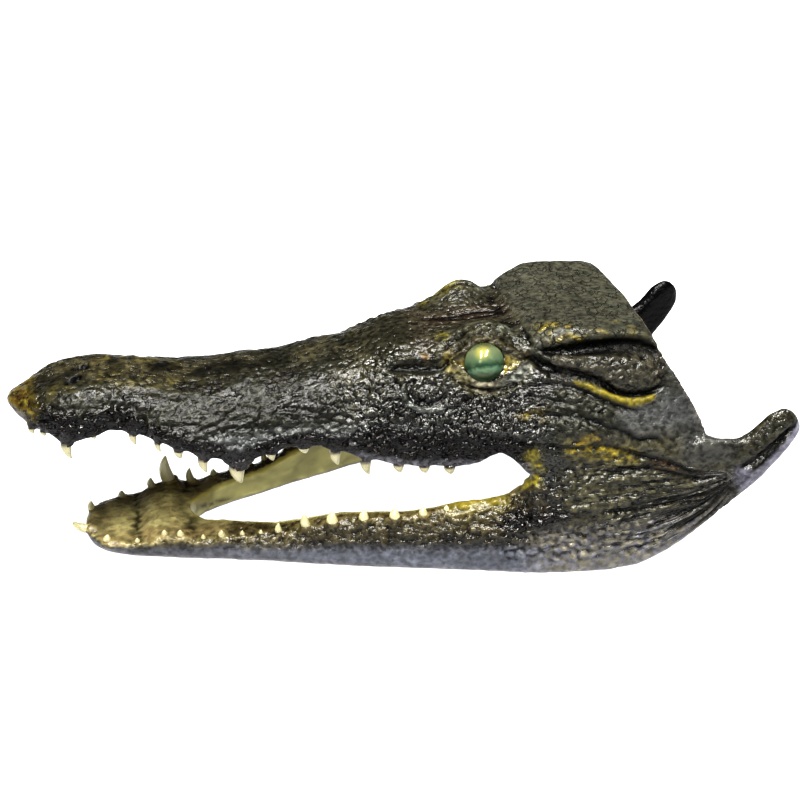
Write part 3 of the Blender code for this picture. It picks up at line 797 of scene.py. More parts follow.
def rugose_zone(points, normals):
    """Where the hide is lumpy: the snout, face and cheeks, less on the table and low on the jaws."""
    upper = smooth_step(50.0, 60.0, points[:, 2])
    face = zone(points, s=(12, 240), z=(50, 112), soft=8.0)
    cheek = zone(points, s=(228, 275), y=(38, 90), z=(60, 94), soft=7.0)
    behind = 0.7 * zone(points, s=(236, 300), y=(50, 90), z=(34, 62), soft=6.0)
    flap = 0.7 * zone(points, s=(252, 303), y=(38, 90), z=(88, 106), soft=4.0)
    jaw = zone(points, s=(8, 300), z=(9, 40), soft=5.0) * smooth_step(-0.2, 0.5, normals[:, 1])
    under = smooth_step(-0.35, 0.1, normals[:, 2])
    mark = np.max([face * upper * under, cheek * under, behind, 0.75 * jaw, flap], axis=0)
    back, up, out = eye_sheet(points)
    lids = np.exp(-((np.hypot(back * 0.8, up * 1.1) / 13.5) ** 4)) * (out > -6.0)
    top = smooth_step(0.6, 0.95, normals[:, 2]) * smooth_step(60.0, 80.0, points[:, 2])
    return mark * (1.0 - 0.85 * lids) * (1.0 - 0.7 * top)


def fold_marks(points):
    """1 on any pressed fold, so that lumps can be kept off it."""
    marks = [stroke(points, laid_lines[name], np.array(width) * 1.15, 0.05) for name, width, _ in
             FOLDS + EYE_FOLDS if name != "flap_body"]
    return np.max(marks, axis=0)


def gathered_skin(points, normals):
    """Where the folds behind the mouth lie, and for every point its place along and across them."""
    ahead = GATHER_FROM[0] - points[:, 0]
    across = (points[:, 2] - GATHER_FROM[1]) / (1.0 - np.exp(-np.maximum(ahead, 3.0) / 24.0))
    where = zone(points, s=(246, 334), y=(54, 90), z=(12, 72), soft=7.0)
    where *= smooth_step(0.0, 0.4, normals[:, 1]) * smooth_step(0.0, 6.0, ahead)
    where *= 0.25 + 0.75 * smooth_step(256.0, 302.0, points[:, 0])
    where *= smooth_step(-3.0, 4.0, 64.0 - 0.16 * (points[:, 0] - 250.0) - points[:, 2])
    return where, np.stack([0.03 * ahead, across / 3.0, 0.01 * points[:, 1]], 1)


points, side = head_points(hide.data)
print("lumpy:", int((rugose_zone(points, outward(hide.data, side)) > 0.5).sum()), "vertices")

# %% [markdown]
# The lumps are the cells of a Voronoi noise, flat on top with a groove between them, and warped so that
# no row of them is straight. They are lower along the snout, where the skin is thin and only finely
# wrinkled. The gathered folds come from a noise that is read along the fan and hardly changes from one
# end to the other.

# %% Lumps and gathered skin
LUMP_MM = 3.4
FAN_HEIGHT_MM = 1.5

points, side = head_points(hide.data)
normals = outward(hide.data, side)
rugose = rugose_zone(points, normals) * (1.0 - 0.95 * fold_marks(points))
warp = np.stack([sample(points + shift, side, 7.0) for shift in (0.0, 40.0, 80.0)], 1)
walls = sample(points + 1.3 * warp, side, LUMP_MM, 1.5, cell_wall)
lumps = smooth_step(0.02, 0.55, walls) - 0.55
ripple = sample(points, side, 2.4, 1.8)
broad = sample(points, side, 14.0)
finer = zone(points, s=(20, 140), y=(8, 60), z=(64, 104), soft=12.0)
finer = np.maximum(finer, zone(points, s=(20, 220), z=(-10, 42), soft=10.0))
lift = rugose * ((1.5 - 0.85 * finer) * lumps + 0.9 * ripple + 0.5 * broad)
lift += (1.0 - rugose) * (0.2 * ripple + 0.35 * broad)

gathered, drape = gathered_skin(points, normals)
fan = np.array([abs(noise.noise(Vector(spot))) for spot in drape * (1.0, 0.7, 1.0)]) * 2.4
lift += gathered * (FAN_HEIGHT_MM * np.minimum(fan, 1.0) - 0.8)
points += normals * lift[:, None]
put_back(hide.data, points, side)
print("lumps:", round(lift.min(), 2), "to", round(lift.max(), 2), "mm")

# %% [markdown]
# A crocodile's tooth stands in a collar of gum that climbs its root, highest on the long upper teeth.
# Each collar is drawn out of the skin along its tooth's own axis, so that the enamel seems to grow from
# it. Round a long tooth the skin is also pushed outwards, because the root's socket swells the lip
# above it. The rear upper teeth are short, and stand in low, wide mounds. Last, nothing is left below
# the floor.

# %% Gum collars
COLLAR_REACH = 2.3
SHEATH_REACH = 1.7
COLLAR_TALLEST_MM = 4.0
LONG_TOOTH_MM = 4.0
REAR_MOUNDS_MM = 140.0

points, side = head_points(hide.data)
for tooth in teeth:
    root = np.array(((tooth["root"].x - cad_low.x) / MM, tooth["root"].y / MM, tooth["root"].z / MM))
    axis = np.array(tooth["tip"] - tooth["root"]) / MM
    length = np.linalg.norm(axis)
    axis /= length
    off = points.copy()
    off[:, 1] *= side
    off -= root
    near = np.nonzero((abs(off) < 7.0).all(1))[0]
    depth = off[near] @ axis
    aside = off[near] - depth[:, None] * axis
    across = np.linalg.norm(aside, axis=1)
    share = COLLAR_UPPER if tooth["upper"] else COLLAR_LOWER
    height = min(share * length, COLLAR_TALLEST_MM) + 0.5
    wide = COLLAR_REACH * tooth["radius"] / MM
    if tooth["upper"] and root[0] > REAR_MOUNDS_MM:
        height *= 0.6
        wide *= 1.4
    mound = np.exp(-((across / wide) ** 2)) * smooth_step(-5.0, -1.5, depth)
    move = axis * np.maximum(height * mound - np.maximum(depth, 0.0) * mound, 0.0)[:, None]
    if length > LONG_TOOTH_MM:
        swell = np.maximum(SHEATH_REACH * tooth["radius"] / MM - across, 0.0)
        swell *= smooth_step(-5.0, -2.0, depth) * smooth_step(height, 0.4 * height, depth)
        move += aside * (swell / np.maximum(across, 0.6))[:, None]
    move[:, 1] *= side[near]
    points[near] += move
points[:, 2] = np.maximum(points[:, 2], 0.0)
put_back(hide.data, points, side)
work(hide, "SMOOTH", factor=0.35, iterations=2)
print("collars:", len(teeth))

# %% [markdown]
# The clay has more faces than a shared part should carry. A Decimate modifier merges them, first where
# the skin is nearly flat. A vertex group says where it may: most on the jaw's underside and inside the
# mouth, and least round the eye and ear, where the small folds are.

# %% Thinning the hide
TRIANGLES = 196_000


def triangle_count(mesh):
    return sum(len(face.vertices) - 2 for face in mesh.polygons)


points, side = head_points(hide.data)
normals = outward(hide.data, side)
seen = smooth_step(-0.2, 0.3, normals[:, 1]) * smooth_step(-0.3, 0.2, normals[:, 2])
fine = zone(points, s=(168, 308), y=(20, 75), z=(74, 120), soft=5.0)
guard = np.clip(0.35 * seen + fine, 0.0, 1.0)
group = hide.vertex_groups.new(name="may_thin")
for index, amount in enumerate(np.clip(1.0 - guard, 0.02, 1.0)):
    group.add((index,), float(amount), "REPLACE")
triangles = triangle_count(hide.data)
work(hide, "DECIMATE", ratio=TRIANGLES / triangles, vertex_group="may_thin", vertex_group_factor=0.00001)
hide.vertex_groups.clear()
hide.data.shade_smooth()
print("hide:", triangles, "triangles thinned to", triangle_count(hide.data))

# %% [markdown]
# The colours were brushed on under the lacquer, and the same is done here, with a colour for every
# vertex. A brush needs to know where it is: each vertex's place, its place on the eye's sheet, which
# way the skin as a whole faces, without its wrinkles, and how far it is above the row of upper teeth.

# %% Where each vertex is
points, side = head_points(hide.data)
normals = outward(hide.data, side)
back, up, out = eye_sheet(points)
s, y, z = points.T
broad = neighbour_mean(hide.data, normals, 8)
broad /= np.linalg.norm(broad, axis=1)[:, None]
facing_out = broad[:, 1]
facing_up = broad[:, 2]
upper_roots = [tooth["root"] for tooth in teeth if tooth["upper"]]
lip_spots = sorted(((root.x - cad_low.x) / MM, root.z / MM) for root in upper_roots)
above_lip = z - np.interp(s, *zip(*lip_spots))
print("facing out:", int((facing_out > 0.5).sum()), "facing up:", int((facing_up > 0.5).sum()), "vertices")

# %% [markdown]
# The coat is built up from a dark ground: black on the lips and folds, dark olive on the snout, grey on
# the skull's table, gold along the lower slit, yellow at the corner of the mouth. Five more numbers go
# with the colour: gloss, the height of the fine grain, gold flecks, the share of dull dry skin, and
# cracks. Fine speckle is left to the material, which can draw it smaller than a face.

# %% The coat and its brushes
def rgb(red, green, blue):
    """A colour given as it looks, 0 to 255, as the light-linear numbers that shaders use."""
    return np.array([(value / 255.0) ** 2.2 for value in (red, green, blue)])


GROUND = rgb(27, 26, 21)
coat = {
    "paint": np.tile(GROUND, (len(points), 1)),
    "gloss": np.full(len(points), 0.24),
    "grain": 0.35 + 0.65 * rugose_zone(points, normals),
    "fleck": np.zeros(len(points)),
    "dull": np.zeros(len(points)),
    "cracked": np.zeros(len(points)),
}
cloud_9 = sample(points, side, 9.0, 1.6)
cloud_4 = sample(points + 50.0, side, 4.0, 1.4)
cloud_2 = sample(points + 90.0, side, 2.2, 1.3)


def dab(mark, colour=None, **others):
    """Lays a colour and any other values of the coat over it where the mark is strong."""
    mark = np.clip(mark, 0.0, 1.0)
    for name, value in (("paint", colour), *others.items()):
        if value is None:
            continue
        share = mark[:, None] if name == "paint" else mark
        coat[name] += (value - coat[name]) * share


def broken(mark, cloud, cover=0.0, edge=0.25):
    """The mark worn through into patches by a noise; a higher cover leaves more of it."""
    return mark * smooth_step(-cover - edge, -cover + edge, cloud)


hollow = ((neighbour_mean(hide.data, points, 6) - points) * normals).sum(1)
print("hollows:", np.percentile(hollow, (5, 50, 95)).round(2), "mm")

# %% [markdown]
# The ground colours go on from the snout to the jaw, one soft-edged box after another, with a worn
# layer over each so that none is flat. The snout is olive above and grey-black at the side, the cheek
# is nearly black and the glossiest place, and the skull's table is a dull, cracked grey. The lip is a
# black band whose upper edge follows the roots of the teeth.

# %% The ground colours, from the snout to the jaw
lower = smooth_step(47.0, 43.0, z) * smooth_step(262.0, 240.0, s)
snout_top = zone(points, s=(18, 165), z=(82, 120), soft=10.0) * smooth_step(0.55, 0.95, facing_up)
table = zone(points, s=(243, 330), y=(-20, 47), z=(103, 130), soft=5.0)
dab(broken(snout_top, cloud_9, 0.05), rgb(54, 51, 39), gloss=0.34, grain=0.6, fleck=0.08, cracked=0.6)
dab(zone(points, s=(14, 120), y=(8, 32), z=(84, 100), soft=5.0) * 0.6, rgb(48, 46, 35), fleck=0.1)
dab(zone(points, s=(120, 238), y=(-20, 60), z=(66, 120), soft=12.0) * 0.55, rgb(46, 45, 36), dull=0.4)
snout_side = zone(points, s=(15, 150), y=(10, 60), z=(70, 100), soft=10.0)
dab(snout_side * 0.9, rgb(31, 31, 26), gloss=0.42, grain=0.6, dull=0.8)
cheek = zone(points, s=(160, 246), y=(36, 90), z=(60, 94), soft=9.0)
dab(cheek, rgb(27, 26, 22), gloss=0.1, grain=1.6, dull=0.0)
dab(broken(np.maximum(cheek, snout_side), cloud_9, -0.12) * 0.8, rgb(20, 19, 16), dull=0.45)
dab(broken(np.maximum(cheek, snout_side), -cloud_9, -0.15) * 0.3, rgb(50, 50, 44))
# painted sheen: a pale blue-grey band along the lower face, above the lip, stands in for its many small
# glints
dab(zone(points, s=(88, 190), y=(12, 60), z=(63, 73), soft=5.0) * 0.75, rgb(82, 84, 84), gloss=0.3)
between = zone(points, s=(190, 246), y=(-20, 24), z=(98, 116), soft=6.0)
dab(between, rgb(52, 49, 40), gloss=0.34, grain=0.9, dull=0.3)
dab(broken(between, cloud_4) * 0.6, rgb(36, 31, 26))
dab(table, rgb(61, 61, 53), gloss=0.5, grain=0.4, dull=0.5, cracked=0.9)
dab(broken(table, cloud_9) * 0.6, rgb(55, 55, 46))
dab(broken(table, cloud_4, -0.15) * 0.5, rgb(50, 48, 40))
dab(broken(table, cloud_2, -0.1) * 0.4, rgb(49, 48, 41))
dab(zone(points, s=(244, 262), y=(-20, 26), z=(100, 118), soft=4.0) * smooth_step(0.9, 0.6, facing_up),
    rgb(52, 42, 30))
behind_table = zone(points, s=(300, 340), y=(40, 90), z=(52, 100), soft=6.0)
dab(behind_table * 0.7, rgb(58, 58, 54), gloss=0.3, grain=0.3)
flap = zone(points, s=(250, 303), y=(40, 90), z=(89, 106), soft=4.0)
dab(flap, rgb(50, 48, 41), gloss=0.32, grain=0.9, dull=0.45)
below_slit = zone(points, s=(246, 300), y=(48, 90), z=(64, 91), soft=6.0)
dab(below_slit, rgb(46, 46, 39), gloss=0.3, grain=0.9, dull=0.62)
smooth_grey = zone(points, s=(277, 326), y=(44, 90), z=(60, 85), soft=6.0)
dab(smooth_grey * 0.85, rgb(58, 58, 58), gloss=0.4, grain=0.35, dull=0.55)
brows = zone(points, s=(200, 240), y=(10, 38), z=(103, 120), soft=5.0)
dab(brows, rgb(44, 43, 35), gloss=0.3, grain=0.8, dull=0.6)
band_top = np.interp(s, (0, 45, 60, 150, 168, 205, 240), (12, 12, 7, 7, 18, 18, 15)) + 2.0 * cloud_9
lip = smooth_step(2.0, -2.0, above_lip - band_top) * (1.0 - lower) * (s < 240.0) * (s > 6.0)
lip *= smooth_step(-0.3, 0.1, facing_out)
dab(lip, rgb(14, 10, 7), gloss=0.10, grain=1.5, fleck=0.0, dull=0.5)
lip_edge = lip * smooth_step(4.0, 2.2, above_lip + 1.5 * cloud_4) * smooth_step(150.0, 164.0, s)
dab(lip_edge, rgb(76, 75, 80), gloss=0.28, grain=1.2, dull=0.2)
dab(broken(lip_edge, cloud_2, -0.15), rgb(42, 40, 42))
print("ground:", coat["paint"].mean(0).round(3))

# %% [markdown]
# The lower jaw is dark olive outside. Along its lower edge and on its underside it is painted blue-grey, a
# painted reflection of the pale floor. The broad plate behind the chin is a brushed khaki, and the jaw's
# inner face, smooth and yellow, was never painted black. What can't be seen from the side, the palate and
# the cut at the back, is bone brown.

# %% The lower jaw and the inside of the mouth
outer_jaw = lower * smooth_step(0.1, 0.5, facing_out)
inner_jaw = lower * smooth_step(-0.15, -0.5, facing_out) * smooth_step(60.0, 72.0, s)
gum_band = lower * smooth_step(0.35, 0.75, facing_up)
under = lower * smooth_step(-0.2, -0.6, facing_up)
symphysis = zone(points, s=(-5, 92), y=(-20, 26), z=(8, 40), soft=6.0) * smooth_step(0.2, 0.7, facing_up)
dab(outer_jaw, rgb(38, 36, 30), gloss=0.22, grain=0.9, dull=0.4)
dab(broken(outer_jaw, cloud_4, -0.1) * 0.6, rgb(48, 44, 34))
# painted reflection: the pale floor mirrored as blue-grey along the jaw's lower edge, darker towards the
# front
painted_floor_reflection = outer_jaw * smooth_step(11.0, 5.0, z - 0.045 * np.maximum(s - 70.0, 0.0))
dab(painted_floor_reflection, rgb(80, 82, 89), gloss=0.38, grain=0.3)
dab(painted_floor_reflection * smooth_step(170.0, 40.0, s) * 0.6, rgb(54, 52, 50))
dab(broken(painted_floor_reflection, cloud_4, -0.05) * 0.45, rgb(58, 58, 60))
dab(gum_band * smooth_step(60.0, 90.0, s), rgb(70, 65, 46), gloss=0.3, grain=0.5, fleck=0.1)
dab(broken(gum_band, cloud_2, -0.1) * 0.6, rgb(48, 38, 24))
dab(symphysis, rgb(152, 145, 104), gloss=0.4, grain=0.25, fleck=0.1, dull=0.4)
dab(symphysis * smooth_step(41.0, 32.0, s + 3.0 * cloud_4) * 0.7, rgb(72, 64, 46))
dab(symphysis * smooth_step(12.0, 20.0, y + 4.0 * cloud_9) * 0.7, rgb(82, 70, 50))
dab(broken(symphysis, cloud_4, -0.1) * 0.5, rgb(112, 98, 70))
dab(broken(symphysis, cloud_2, -0.15) * 0.3, rgb(84, 72, 50))
dab(inner_jaw, rgb(176, 170, 112), gloss=0.24, grain=0.0)
gum_line = 20.0 + 0.13 * (s - 100.0) - 2.0 * cloud_9
dab(inner_jaw * smooth_step(-5.0, -1.5, z - gum_line), rgb(62, 50, 26), gloss=0.2)
# painted reflection of the pale floor on the jaw's underside
dab(under, rgb(96, 92, 92), gloss=0.4, grain=0.3)
palate = smooth_step(-0.35, -0.7, facing_up) * (z > 50.0) * (z < 84.0) * (s < 296.0)
palate *= smooth_step(0.35, 0.0, facing_out)
dab(palate, rgb(128, 112, 74), gloss=0.3, grain=0.3)
dab(broken(palate, cloud_4) * 0.5, rgb(84, 68, 44))
inner_cheek = smooth_step(-0.2, -0.5, facing_out) * smooth_step(225.0, 240.0, s) * (z < 100.0)
dab(inner_cheek, rgb(92, 78, 50), gloss=0.4, grain=0.5)
jaw_joint = zone(points, s=(296, 336), y=(50, 90), z=(55, 72), soft=5.0)
dab(jaw_joint * 0.8, rgb(55, 55, 54), gloss=0.34, grain=0.4, dull=0.4)
rear_cut = smooth_step(0.45, 0.75, normals[:, 0]) * smooth_step(292.0, 300.0, s) * (z > 40.0) * (y < 66.0)
dab(rear_cut, rgb(70, 56, 38), gloss=0.5, grain=1.0)
print("palate share:", round(float(palate.mean()), 3))

# %% [markdown]
# Behind the mouth the gathered skin is olive above, blue-grey and speckled with khaki below, with a
# black patch where the two meet. The spur behind the joint has a black groove and, on the near side, a
# pale rim. The corner of the mouth is a yellow web of skin.

# %% Behind the mouth
gathered, drape = gathered_skin(points, normals)
folds = zone(points, s=(252, 338), y=(50, 90), z=(22, 70), soft=6.0) * smooth_step(0.0, 0.4, facing_out)
folds *= 1.0 - 0.8 * smooth_step(300.0, 312.0, s) * smooth_step(50.0, 58.0, z)
dab(folds, rgb(56, 54, 42), gloss=0.28, grain=0.7, dull=0.36)
knob = zone(points, s=(332, 340), y=(60, 95), z=(44, 53), soft=2.5) * smooth_step(0.0, 0.5, facing_out)
near_knob = gathered * smooth_step(304.0, 334.0, s)
dab(near_knob * 0.35, rgb(72, 70, 76))
low_cheek = zone(points, s=(240, 330), y=(50, 95), z=(-18, 27), soft=14.0)
low_cheek *= smooth_step(-0.3, 0.2, facing_out)
low_cheek *= smooth_step(0.0, 7.0, 33.0 - z + 0.12 * (s - 280.0))
dab(low_cheek, rgb(78, 77, 82), gloss=0.36, grain=0.35)
dab(broken(low_cheek, cloud_2, 0.0) * 0.45, rgb(100, 94, 62), fleck=0.25)
black_patch = zone(points, s=(222, 266), y=(50, 90), z=(10, 34), soft=4.0)
black_patch *= smooth_step(0.0, 0.4, facing_out)
black_patch *= smooth_step(-0.8, 0.8, z - (23.6 + 0.31 * (s - 231.0)) + cloud_2)
dab(black_patch, rgb(18, 12, 9), gloss=0.14, grain=1.2, dull=0.4)
process = zone(points, s=(334, 380), y=(50, 95), z=(40, 90), soft=4.0)
dab(process, rgb(42, 41, 34), gloss=0.26, grain=0.6, dull=0.35)
dab(process * (side > 0.0), rgb(9, 8, 9), gloss=0.3, grain=0.3, dull=0.8)
rim_height = z - (44.5 + 1.12 * (s - 337.0))
process_rim = process * smooth_step(1.0, -1.0, rim_height)
dab(process_rim * smooth_step(0.1, 0.5, facing_out) * (side < 0.0), rgb(86, 85, 93), gloss=0.3, grain=0.3)
dab(process * np.exp(-(((rim_height - 1.8) / 1.0) ** 2)) * 1.2, rgb(8, 8, 8), grain=0.2, dull=0.8)
dab(knob, rgb(70, 69, 76), gloss=0.3, grain=0.4)
corner = zone(points, s=(226, 243), y=(46, 70), z=(42, 66), soft=2.5)
dab(corner * smooth_step(0.75, 0.2, abs(facing_out)), rgb(98, 90, 34), gloss=0.3, grain=0.3)
print("fold share:", round(float(folds.mean()), 3))

# %% [markdown]
# The strokes of colour are drawn as the folds were: a line of points laid on the skin, with a width. A
# painted image could hold them too, but lines can be moved and widened one at a time.

# %% Where the strokes of colour lie
PAINT_LINES = {
    "snout_tip": ((3, 0, 89), (5, 6, 89.5), (8, 11, 88.5), (10, 15, 87)),
    "below_tip": ((2, 0, 86), (3, 8, 84.5), (7, 13, 83)),
    "corner_strip": ((236, 59, 64), (239, 60, 58), (241, 61, 52), (239, 61, 44)),
    "gold_streak": ((250, 63, 64), (261, 66, 64.5), (271, 68, 62.5), (282, 69, 61), (291, 71, 57)),
    "gold_loop": ((255, 64, 67), (259, 65, 68), (263, 66, 70), (266, 66, 71), (269, 67, 67)),
    "red_streak": ((290, 71, 57), (295, 72, 56), (301, 73, 55), (308, 75, 53)),
    "table_gold_1": ((244, 31, 111), (250, 32, 112), (256, 35, 113), (262, 38, 113)),
    "table_gold_2": ((248, 37, 109.5), (254, 40, 109.5), (261, 42, 110), (268, 43, 110.5), (280, 44, 111)),
    "table_gold_3": ((284, 29, 113), (287, 37, 113), (292, 44, 110), (298, 45, 108.5)),
    "lid_gold": ((206, 30, 107), (214, 26, 112), (224, 25, 113.5)),
    "behind_nostril": ((34, 8, 97), (44, 9, 96), (54, 10, 93), (68, 9, 91), (82, 9, 88)),
    "beside_nostril": ((18, 12, 93), (24, 13, 94), (32, 14, 94)),
    "brow_pale": ((224, 27, 113.8), (231, 25, 111.4), (237, 19, 108.4)),
    "ochre_spot": ((191, 27, 100.6), (195, 26, 101.4)),
    "olive_spot": ((200, 20, 105.4), (206, 17, 107.4)),
    "purple_fold": ((201, 32, 100.4), (206, 31, 102.4), (211, 30, 104.4)),
    "gum_yellow": ((196, 49, 28.8), (210, 53, 32.1), (222, 56, 34.0), (230, 57, 37.0)),
    "jaw_slot": ((80, 8, 6.1), (85, 12, 4.9), (90, 14, 4.7), (95, 16, 4.5), (101, 18, 4.1)),
    "jaw_end": ((78, 4, 10.3), (81, 8, 10.4), (86, 12, 9.2), (90, 14, 8.9)),
    "crack_1": ((270, 3, 112.1), (278, 9, 112.1), (286, 15, 112.1)),
    "crack_2": ((256, 7, 111.8), (254, 18, 112.2), (252, 28, 113.1)),
    "crack_3": ((262, 20, 112.0), (272, 24, 112.0), (280, 22, 112.0), (290, 26, 112.0)),
    "cheek_gold": ((233, 50, 82), (236, 51, 79), (241, 54, 78), (246, 57, 77)),
}
paint_tree = skin_tree(hide)
laid_lines.update({name: laid(paint_tree, knots) for name, knots in PAINT_LINES.items()})
print("strokes of colour:", len(PAINT_LINES))

# %% [markdown]
# Most strokes are broken up by a noise, because paint under lacquer wears through on the high spots. On
# the snout and brows they are ochre and olive, broken with brown at the tip, and thin dark cracks cross
# the skull's table.

# %% Strokes on the snout, the brows and the table
def streak(name, width, taper=0.2):
    return stroke(points, laid_lines[name], width, taper)


dab(zone(points, s=(-6, 16), z=(66, 80), soft=2.5), rgb(13, 10, 8), gloss=0.2, grain=0.8, dull=0.6)
tip = np.maximum(streak("snout_tip", (6.2, 5.0, 3.6), 0.0), streak("below_tip", (4.0, 4.5, 3.0), 0.0))
dab(tip * 1.1, rgb(87, 80, 36), gloss=0.32, grain=0.8, fleck=0.3)
dab(broken(tip, cloud_2, 0.0) * 1.1, rgb(38, 26, 17))
dab(broken(tip, cloud_4, 0.0), rgb(46, 35, 20))
dab(broken(streak("behind_nostril", 5.0), cloud_4) * 0.9, rgb(68, 63, 40), fleck=0.2)
dab(broken(streak("beside_nostril", 4.0), cloud_4) * 0.9, rgb(66, 62, 40), fleck=0.15)
dab(broken(streak("lid_gold", 5.0), cloud_2) * (side > 0.0), rgb(90, 84, 36), fleck=0.6)
dab(broken(streak("brow_pale", 4.5), cloud_2) * 0.8, rgb(80, 82, 73), grain=0.9, dull=0.4)
dab(streak("ochre_spot", 2.6), rgb(66, 52, 24), gloss=0.4, fleck=0.2, dull=0.6)
dab(broken(streak("olive_spot", 4.0), cloud_2), rgb(78, 74, 38), fleck=0.5)
dab(streak("purple_fold", 2.2) * 0.7, rgb(62, 50, 48))
dab(streak("between_eyes", 2.6) * 0.5, rgb(50, 34, 27))
for name in ("crack_1", "crack_2", "crack_3"):
    dab(broken(streak(name, 0.9), cloud_4, 0.3) * 0.9, rgb(34, 31, 25))
print("ochre tip:", int((tip > 0.5).sum()), "vertices")

# %% [markdown]
# Yellow and gold were kept for the edges: the web at the corner of the mouth, the gum of the lower jaw,
# the near edges of the skull's table and the skin behind the mouth. The line along the lower ear slit
# is the only crisp one, so its soft border is drawn in to an edge.

# %% Strokes of yellow and gold
def crisp(mark):
    """The mark with its soft border drawn in to an edge."""
    return smooth_step(0.30, 0.62, mark)


corner_strip = streak("corner_strip", (3.6, 3.0, 2.4, 2.6), 0.05)
dab(corner_strip * 1.2, rgb(92, 85, 30), gloss=0.3, grain=0.5, fleck=0.1)
dab(broken(streak("corner_strip", 3.6), cloud_2, -0.2) * 0.4, rgb(70, 62, 26))
gum_yellow = broken(streak("gum_yellow", 4.0), cloud_4, 0.5)
dab(gum_yellow * 1.2, rgb(94, 86, 38), gloss=0.3, grain=0.2, dull=0.5)
dab(streak("jaw_end", 2.8) * 0.8, rgb(146, 134, 58))
dab(streak("jaw_slot", 1.3), rgb(84, 76, 34))
gold_streak = broken(streak("gold_streak", (3.5, 4.0, 3.6, 2.5)), cloud_2, 0.2)
dab(gold_streak * 1.1, rgb(106, 95, 38), fleck=0.4, dull=0.6)
dab(broken(streak("gold_loop", 1.6), cloud_2, 0.1), rgb(98, 84, 32), fleck=0.4)
dab(streak("red_streak", 2.4) * 0.6, rgb(54, 37, 24))
dab(broken(streak("cheek_gold", 3.0), cloud_2) * 0.8, rgb(84, 74, 32), fleck=0.5)
table_gold = [streak(name, width) * (side < 0.0) for name, width in
              (("table_gold_1", 4.0), ("table_gold_2", 3.2), ("table_gold_3", 4.5))]
dab(broken(table_gold[0], cloud_2, -0.1), rgb(100, 90, 42), gloss=0.2, grain=1.0, fleck=0.6)
dab(broken(table_gold[1], cloud_2, -0.05), rgb(96, 87, 46), gloss=0.22, grain=0.9, fleck=0.6)
dab(broken(table_gold[2], cloud_4) * 0.6, rgb(80, 75, 46), fleck=0.4)
gold_line = crisp(streak("gold_line", (1.5, 2.0, 2.4, 2.3, 1.6), 0.12))
dab(gold_line, rgb(86, 79, 33), gloss=0.45, grain=0.35, fleck=0.0, dull=0.6)
print("gold line covers", int((gold_line > 0.5).sum()), "vertices")

# %% [markdown]
# Every groove is filled with near-black painted shade, which stays dull, as it does in the real slits. The
# nostrils and the deepest slits get a second, darker fill of painted shade. The ring on the cheek is the
# opposite: a raised wrinkle that is painted pale, as a painted highlight where it catches the light.

# %% Dark grooves
# painted shade: every groove filled with near-black
for name, width, height in FOLDS + EYE_FOLDS:
    if height < 0.0:
        groove = streak(name, np.array(width) * 0.9)
        dab(groove * 1.1, rgb(9, 8, 7), gloss=0.3, grain=0.3, fleck=0.0, dull=0.8)
# painted shade: the nostrils filled darker still, so they read as holes
for name, on_side in NOSTRILS:
    dab(streak(name, 4.0, 0.0) * (side == on_side), grain=0.2, dull=0.9)
    dab(streak(name, 2.3, 0.0) * 2.2 * (side == on_side), rgb(6, 5, 4), grain=0.1, fleck=0.0, dull=1.0)
# painted shade: the ear slits and the groove before the eye filled darker still
for name, width in (
    ("ear_slit_top", (1.4, 2.4, 3.4, 3.8, 3.4, 2.2)),
    ("ear_slit_low", (2.0, 2.4, 1.6, 1.0, 1.0)),
    ("before_eye", (1.6, 2.6, 2.0)),
):
    dab(streak(name, width, 0.1) * 1.8, rgb(5, 5, 4), gloss=0.5, grain=0.1, fleck=0.0, dull=1.0)
# painted highlight: the raised ring on the cheek painted pale grey
cheek_ring = broken(streak("cheek_ring", 0.9), cloud_2, 0.35)
dab(cheek_ring * 1.2, rgb(84, 86, 82), gloss=0.26, grain=0.5, fleck=0.0, dull=0.0)
print("nearly black:", int((coat["paint"].max(1) < rgb(14, 14, 14)[0]).sum()), "vertices")

# %% [markdown]
# Round the eye the paint follows the opening, not boxes: the distance from its outline picks out the rim of
# each lid. The lower lid is pale and matte, pinkish in the middle, the upper one is dark, and the tissue in
# the two corners is a wet yellow. A thin painted shadow under the ball gives the eye its depth.

# %% The lids and the tissue in the corners of the eye
round_eye = np.nonzero((np.hypot(back, up) < 26.0) & (abs(out) < 14.0) & (normals @ EYE_OUT > -0.3))[0]
edge = np.full(len(points), 99.0)
edge[round_eye] = beyond_opening(back[round_eye], up[round_eye])
band = smooth_step(0.2, 1.0, edge) * smooth_step(6.4, 4.4, edge)
lower_band = band * smooth_step(1.0, -3.0, up)
upper_band = band * smooth_step(-2.0, 2.0, up)
dab(smooth_step(12.0, 5.0, edge) * 0.6, rgb(52, 51, 41), gloss=0.32, fleck=0.1, dull=0.5)
dab(lower_band, rgb(112, 107, 94), gloss=0.42, grain=0.8, dull=0.88)
dab(broken(lower_band, cloud_2) * 0.6, rgb(82, 79, 65))
dab(lower_band * smooth_step(3.0, 12.0, back), rgb(88, 89, 83))
dab(lower_band * smooth_step(-3.0, -9.0, back) * 0.8, rgb(84, 81, 57))
dab(upper_band, rgb(46, 43, 32), gloss=0.4, grain=0.8, dull=0.7)
dab(smooth_step(-11.0, -15.0, back) * band * 0.6, rgb(86, 78, 44), fleck=0.2)
opening = smooth_step(0.4, -0.5, edge)
dab(opening, rgb(92, 84, 46), gloss=0.2, grain=0.3, fleck=0.0, dull=0.0)
dab(opening * smooth_step(10.5, 13.0, back), rgb(122, 114, 72), gloss=0.2, grain=0.6)
dab(broken(opening * smooth_step(10.5, 13.0, back), cloud_2) * 0.7, rgb(92, 82, 46))
dab(opening * smooth_step(-10.5, -13.0, back), rgb(88, 78, 36), gloss=0.24)
